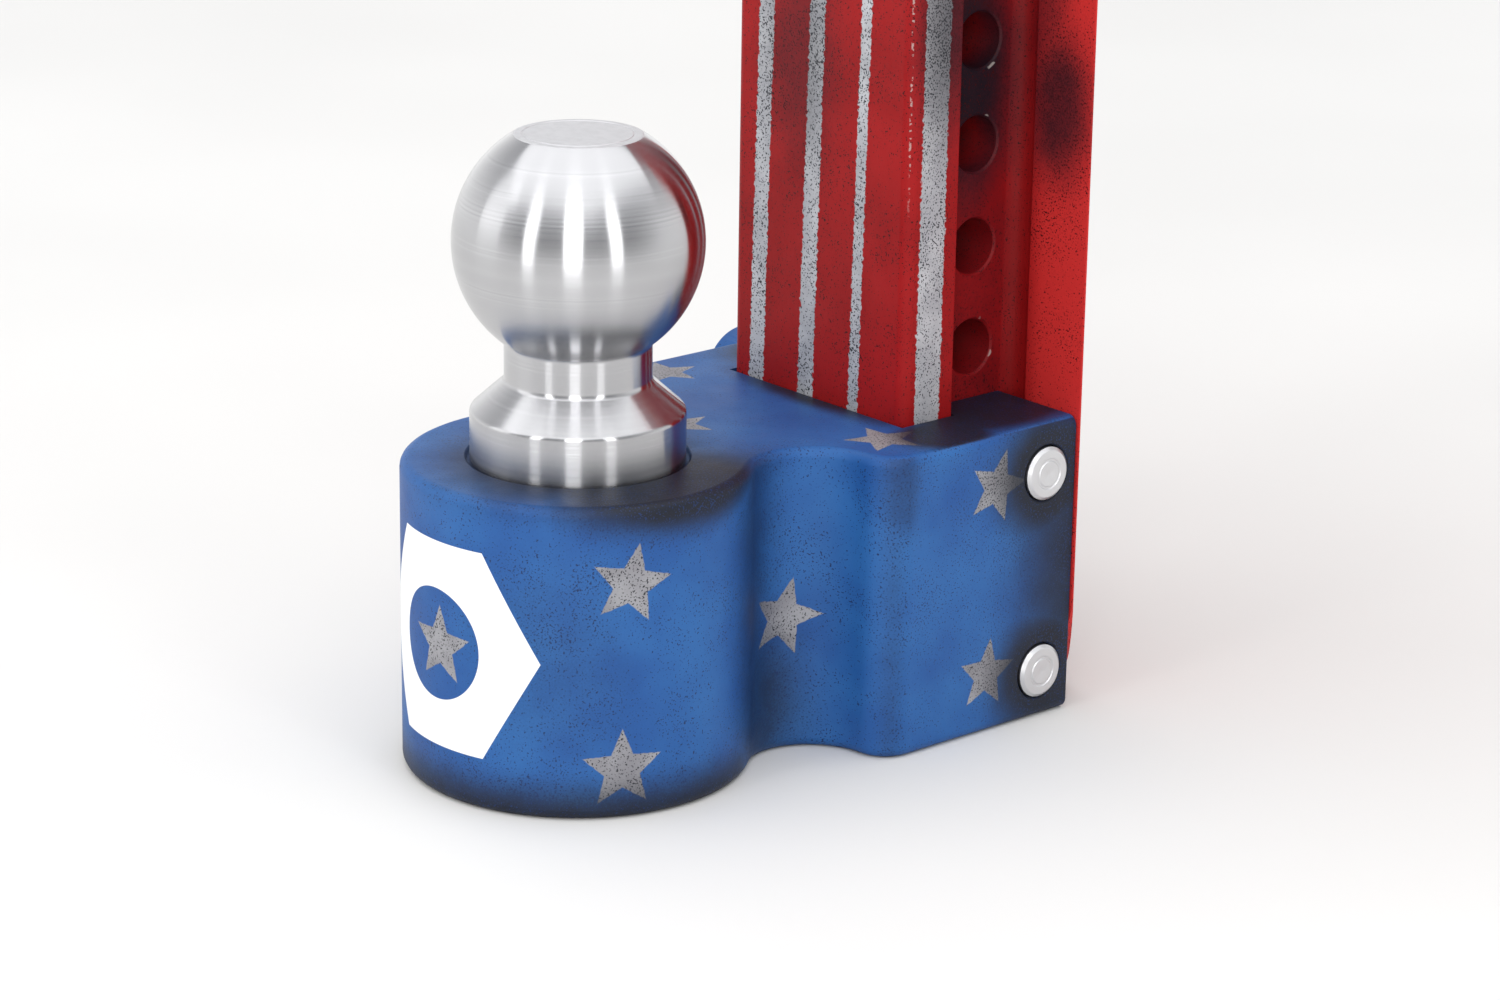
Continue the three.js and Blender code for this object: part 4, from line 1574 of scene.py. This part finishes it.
@dataclass
class TowBall:
    """The turned ball with its flat top, neck, cone, collar and threaded stud."""

    radius: float = 29.37
    flat_radius: float = 14.8
    neck_radius: float = 17.3
    neck_low: float = 94.1
    neck_top: float = 103.2
    collar_radius: float = 25.35
    collar_top: float = 86.8
    stud_radius: float = 15.875
    stud_foot: float = 6.0
    thread_pitch: float = 3.63
    thread_depth: float = 1.6
    thread_top: float = 34.0

    def build(self, finishes: Finishes) -> list[Piece]:
        """Makes the ball and the thread on its stud.

        Args:
            finishes: The materials.

        Returns:
            The finished pieces.
        """
        centre = self.neck_top + math.sqrt(self.radius**2 - self.neck_radius**2)
        start = -math.acos(self.neck_radius / self.radius)
        end = math.acos(self.flat_radius / self.radius)
        root = self.stud_radius - self.thread_depth
        flat = centre + self.radius * math.sin(end)
        seat = LAYOUT.collar_seat
        corners = [
            (0, self.stud_foot),
            (root - 1.0, self.stud_foot),
            (root, self.stud_foot + 1.0),
            (root, self.thread_top),
            (self.stud_radius, self.thread_top + 2),
            (self.stud_radius, seat),
            (self.collar_radius, seat),
            (self.collar_radius, self.collar_top),
            (self.neck_radius, self.neck_low),
            (self.neck_radius, self.neck_top),
        ]
        profile = rounded_profile(corners, {7: 0.7, 8: 0.9})[:-1]
        # The neck runs into the ball through a small fillet.
        sphere = arc((0, centre), self.radius, start, end, math.radians(2.5))
        below = (self.neck_radius, self.neck_top - 3)
        profile += rounded_profile([below, sphere[0], sphere[1]], {1: 1.0})[1:]
        profile += sphere[2:-1]
        inside = (self.flat_radius - 2, flat)
        profile += rounded_profile([sphere[-2], sphere[-1], inside], {1: 0.5})[1:-1]
        # A shallow turned ring just inside the rim of the flat, as the parting tool leaves it.
        profile += [(self.flat_radius - 1.6, flat), (self.flat_radius - 1.8, flat - 0.12)]
        profile += [(self.flat_radius - 2.1, flat - 0.12), (self.flat_radius - 2.3, flat), (0, flat)]
        ball = turned("hitch_tow_ball", profile, upright(y=LAYOUT.ball_y))
        dress(ball, finishes.ball)
        ball.data.materials.append(finishes.faced)
        for face in ball.data.polygons:
            if face.center.z > (flat - 0.2) * MM:
                face.material_index = 1
        hand_over(ball, "carriage", "turned_steel", "tow_ball")
        turns = (self.thread_top - self.stud_foot - 3.0) / self.thread_pitch
        thread = grown(
            "hitch_stud_thread",
            helix_tree(),
            {
                "Turns": turns,
                "Radius": (root + 0.05) * MM,
                "Height": turns * self.thread_pitch * MM,
                "Ridge": (self.thread_depth - 0.1) * MM,
                "Base": (0.0, LAYOUT.ball_y * MM, (self.stud_foot + 1.7) * MM),
                "Material": finishes.ball,
            },
        )
        hand_over(thread, "carriage", "turned_steel")
        return [ball, thread]


# ---- cross pins ----


@dataclass
class CrossPin:
    """One cross pin with its lock: the pieces that show at its two ends."""

    side: Side
    radius: float = 6.65
    tip: float = 51.65
    chamfer: float = 0.8
    spigot: float = 4.5
    spigot_length: float = 6.0
    gap: float = 0.3
    ring_radius: float = 3.5
    cap_step: float = 3.0
    cap_wall: float = 1.6
    seal_place: float = 4.9
    seal_section: float = 1.2
    chamber: tuple[float, float] = (-49.9, -45.9)
    plug_bore: float = 4.1
    clip_place: float = -52.3
    clip_half: float = 0.7
    clip_bore: float = 4.9
    cam_room: float = 3.1
    window_reach: float = 10.8

    def build(self, finishes: Finishes) -> list[Piece]:
        """Makes the pin, its lock body and its dust cap.

        Args:
            finishes: The materials.

        Returns:
            The finished pieces.
        """
        name = self.side.value
        z = LAYOUT.pin_height(self.side)
        pin = turned(f"hitch_{name}_pin", self.pin_profile(), across(0, z))
        dress(pin, finishes.pin)
        hand_over(pin, f"{name}_pin", "pin_steel", f"{name}_pin_shaft")
        body = self.lock_body(z)
        dress(body, finishes.zinc)
        hand_over(body, f"{name}_pin", "zinc", f"{name}_lock_body")
        cap = self.dust_cap(z)
        dress(cap, finishes.rubber)
        hand_over(cap, f"{name}_cap", "black_rubber", f"{name}_dust_cap")
        return [pin, body, cap]

    def pin_profile(self) -> list[Point]:
        """Radius and x of the pin, from its spigot bore round to the middle of its tip."""
        end = LAYOUT.body_inner + self.gap
        bore = self.spigot + self.gap
        ring = self.ring_radius
        tip = self.tip
        outside = [
            (0, end + self.spigot_length),
            (bore, end + self.spigot_length),
            (bore, end),
            (self.radius - 0.4, end),
            (self.radius, end + 0.4),
            (self.radius, tip - self.chamfer),
            (self.radius - self.chamfer, tip - 0.1),
        ]
        # A turned ring round the middle of the tip, and a small centre dimple.
        face = [
            (self.radius - self.chamfer - 0.5, tip),
            (ring + 0.45, tip),
            (ring + 0.2, tip - 0.22),
            (ring - 0.2, tip - 0.22),
            (ring - 0.45, tip),
            (0.7, tip),
            (0, tip - 0.25),
        ]
        return outside + face

    def lock_body(self, z: float) -> Piece:
        """The turned body pressed into the pin, with the chamber of its cam."""
        outer, inner = LAYOUT.body_outer, LAYOUT.body_inner
        step = LAYOUT.seat_step - LAYOUT.slide_gap
        wide, narrow = LAYOUT.body_radius, LAYOUT.barrel_radius
        seal = outer + self.seal_place
        floor = wide - self.seal_section - self.gap
        seat = wide - self.cap_wall
        tip = inner + self.spigot_length - self.gap
        profile = [
            (0, outer),
            (seat - 0.3, outer),
            (seat, outer + 0.3),
            (seat, outer + self.cap_step),
            (wide, outer + self.cap_step),
            (wide, seal - self.seal_section),
            (floor, seal - self.seal_section),
            (floor, seal + self.seal_section),
            (wide, seal + self.seal_section),
            (wide, step),
            (narrow, step),
            (narrow, inner),
            (self.spigot, inner),
            (self.spigot, tip),
            (0, tip),
        ]
        body = turned(f"hitch_{self.side.value}_lock_body", profile, across(0, z), HOLE_SIDES)
        lock_z = z + LAYOUT.plug_offset
        low, high = self.chamber
        half = self.cam_room
        far = self.window_reach
        open_side = [(-far, z - far), (half, z - far), (half, lock_z + half), (-far, lock_z + half)]
        clip = self.clip_place
        tools = [
            drill(LAYOUT.plug_offset + half, low, high, across(0, z)),
            prism("window", open_side, 0.0, high - low, turn=standing(low)),
            drill(self.plug_bore, outer - 2, high, across(0, lock_z)),
            drill(self.clip_bore, clip - self.clip_half, clip + self.clip_half, across(0, lock_z)),
        ]
        return combine(body, tools, "DIFFERENCE")

    def dust_cap(self, z: float) -> Piece:
        """The rubber cup over the keyhole, with a grip rib round its rim."""
        outer = LAYOUT.body_outer
        inner = LAYOUT.body_radius - self.cap_wall + self.gap
        mouth = outer + self.cap_step - self.gap
        face = outer - self.gap - self.cap_wall
        wide = LAYOUT.body_radius
        profile = [
            (0, face + 0.35),
            (wide - 3.2, face + 0.35),
            (wide - 2.9, face),
            (wide - 0.8, face),
            (wide - 0.15, face + 0.5),
            (wide - 0.15, face + 1.2),
            (wide - 0.45, face + 1.6),
            (wide - 0.45, face + 2.4),
            (wide, face + 2.8),
            (wide, mouth - 0.5),
            (wide - 0.4, mouth),
            (inner, mouth),
            (inner, outer - self.gap),
            (0, outer - self.gap),
        ]
        return turned(f"hitch_{self.side.value}_dust_cap", profile, across(0, z), HOLE_SIDES)


# ---- studio ----


@dataclass
class Studio:
    """A plain pale floor, soft light with three upright strips, and the camera."""

    camera_place: Place = (0.73954, -0.69619, 0.37384)
    azimuth: float = 48.888
    elevation: float = 18.083
    roll: float = 0.889
    lens: float = 101.78
    floor_radius: float = 1.5
    floor_grain: float = 300.0
    # azimuth, elevation, width and height in metres, power in watts
    strips: tuple[tuple[float, ...], ...] = (
        (6.0, 17.0, 0.32, 1.25, 4.2),
        (46.5, 17.0, 0.48, 1.25, 8.8),
        (86.0, 17.0, 0.32, 1.25, 4.4),
    )
    strip_distance: float = 1.7

    def build(self) -> None:
        """Makes the floor, the lights and the camera."""
        self._floor()
        self._world()
        self._lights()
        self._camera()

    def _floor(self) -> None:
        """The pale round floor just under the foot; it ends in front of the strips."""
        form = bmesh.new()
        bmesh.ops.create_circle(form, cap_ends=True, radius=self.floor_radius / MM, segments=96)
        floor = object_of("floor", form)
        floor.location = (0, 0, -0.00005)
        material, tree, shader = new_material("matt white floor")
        place, _ = millimetres(tree)
        tone = add(tree, NOISE, place, None, 1 / self.floor_grain, 2.0)
        tone = add(tree, STEP, tone, 0.3, 0.7, **SMOOTH)
        colour = add(tree, MIX, tone, linear("#D9D8D6"), linear("#DDDCDA"))
        feed(tree, shader, {"Base Color": colour, "Roughness": 0.9, "Specular IOR Level": 0.1})
        dress(floor, material)

    def _world(self) -> None:
        """A pale surround, darker low down in front, as a studio is behind its camera."""
        scene = bpy.context.scene
        world = bpy.data.worlds.new("studio")
        scene.world = world
        world.use_nodes = True
        tree = world.node_tree
        tree.nodes.clear()
        way = add(tree, "ShaderNodeTexCoord")
        apart = add(tree, SEPARATE, way.outputs["Generated"])
        high = add(tree, STEP, apart.outputs[2], 0.0, 0.75, **SMOOTH)
        a = math.radians(self.azimuth)
        ahead = (math.sin(a), -math.cos(a), 0.0)
        facing = add(tree, VECTOR, way.outputs["Generated"], ahead, operation="DOT_PRODUCT")
        near = add(tree, STEP, facing.outputs["Value"], -0.1, 0.7, **SMOOTH)
        above = add(tree, STEP, apart.outputs[2], -0.01, 0.03, **SMOOTH)
        near = add(tree, MATH, near, above, operation="MULTIPLY")
        low_tone = add(tree, MIX, near, linear("#FFFFFF"), linear("#4C4E52"))
        tone = add(tree, MIX, high, low_tone, linear("#B8B9BC"))
        back = add(tree, "ShaderNodeBackground", tone, 1.2)
        add(tree, "ShaderNodeOutputWorld", back)

    def _lights(self) -> None:
        """Three strips round the camera's side, a large soft top light and a rim light from the left."""
        for i, (azimuth, elevation, width, height, power) in enumerate(self.strips):
            self._area(f"strip_{i}", azimuth, elevation, self.strip_distance, width, height, power)
        self._area("top", 20.0, 85.0, 3.5, 7.0, 7.0, 190.0)
        self._area("left", -40.0, 25.0, 1.8, 0.9, 1.2, 3.0)

    def _area(
        self,
        name: str,
        azimuth: float,
        elevation: float,
        away: float,
        width: float,
        height: float,
        power: float,
    ) -> None:
        """One rectangular light aimed at the ball.

        Args:
            name: Name of the light.
            azimuth: Its side, in degrees from -Y towards +X.
            elevation: Its height, in degrees.
            away: Metres from the ball.
            width: Across, in metres.
            height: Upwards, in metres.
            power: Watts.
        """
        data = bpy.data.lights.new(name, "AREA")
        data.shape = "RECTANGLE"
        data.size, data.size_y = width, height
        data.energy = power
        lamp = bpy.data.objects.new(name, data)
        bpy.context.scene.collection.objects.link(lamp)
        a, e = math.radians(azimuth), math.radians(elevation)
        way = Vector((math.sin(a) * math.cos(e), -math.cos(a) * math.cos(e), math.sin(e)))
        aim = Vector((0, LAYOUT.ball_y, 110.0)) * MM
        lamp.location = aim + way * away
        lamp.rotation_euler = way.to_track_quat("Z", "Y").to_euler()

    def _camera(self) -> None:
        """The camera, its place worked out from the object's own frame."""
        a, e, r = (math.radians(v) for v in (self.azimuth, self.elevation, self.roll))
        back = Vector((math.sin(a) * math.cos(e), -math.cos(a) * math.cos(e), math.sin(e)))
        right = Vector((math.cos(a), math.sin(a), 0))
        up = back.cross(right)
        turned_right = right * math.cos(r) + up * math.sin(r)
        turned_up = up * math.cos(r) - right * math.sin(r)
        data = bpy.data.cameras.new("camera")
        data.lens = self.lens
        data.sensor_width = 36.0
        data.clip_start = 0.01
        data.clip_end = 50.0
        camera = bpy.data.objects.new("camera", data)
        bpy.context.scene.collection.objects.link(camera)
        frame = Matrix((turned_right, turned_up, back)).transposed().to_4x4()
        camera.matrix_world = Matrix.Translation(self.camera_place) @ frame
        scene = bpy.context.scene
        scene.camera = camera
        scene.view_settings.view_transform = "Standard"
        scene.view_settings.look = "None"


def dress_kept_nodes(frame: dict, finishes: Finishes, replaced: set[str]) -> None:
    """Gives every CAD node that stays the finish of its slot.

    Args:
        finishes: The materials.
        replaced: Names of the nodes that a finer piece stands for.
    """
    slots = finishes.by_slot()
    kept = {
        "zinc": ("washer", "nut", "cam", "clip"),
        "brass": ("plug", "wafer"),
        "black_rubber": ("seal",),
    }
    for name, node in frame["nodes"].items():
        if name in replaced:
            continue
        slot = next(slot for slot, words in kept.items() if any(word in name for word in words))
        for i in range(len(node.material_slots)):
            node.material_slots[i].material = slots[slot]
        if not node.material_slots:
            node.data.materials.append(slots[slot])
        LOG.info("%s: kept, %s", name, slot)


def main() -> None:
    """Builds the hitch round its frame."""
    logging.basicConfig(level=logging.INFO, format="%(name)s: %(message)s")
    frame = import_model()
    finishes = Finishes()
    Drawbar().build(finishes)
    BallMount().build(finishes)
    TowBall().build(finishes)
    for side in Side:
        CrossPin(side).build(finishes)
    replaced = {"drawbar", "ball_mount", "tow_ball"}
    for side in Side:
        replaced |= {f"{side.value}_{part}" for part in ("pin_shaft", "lock_body", "dust_cap")}
    dress_kept_nodes(frame, finishes, replaced)
    Studio().build()


if __name__ == "__main__":
    main()
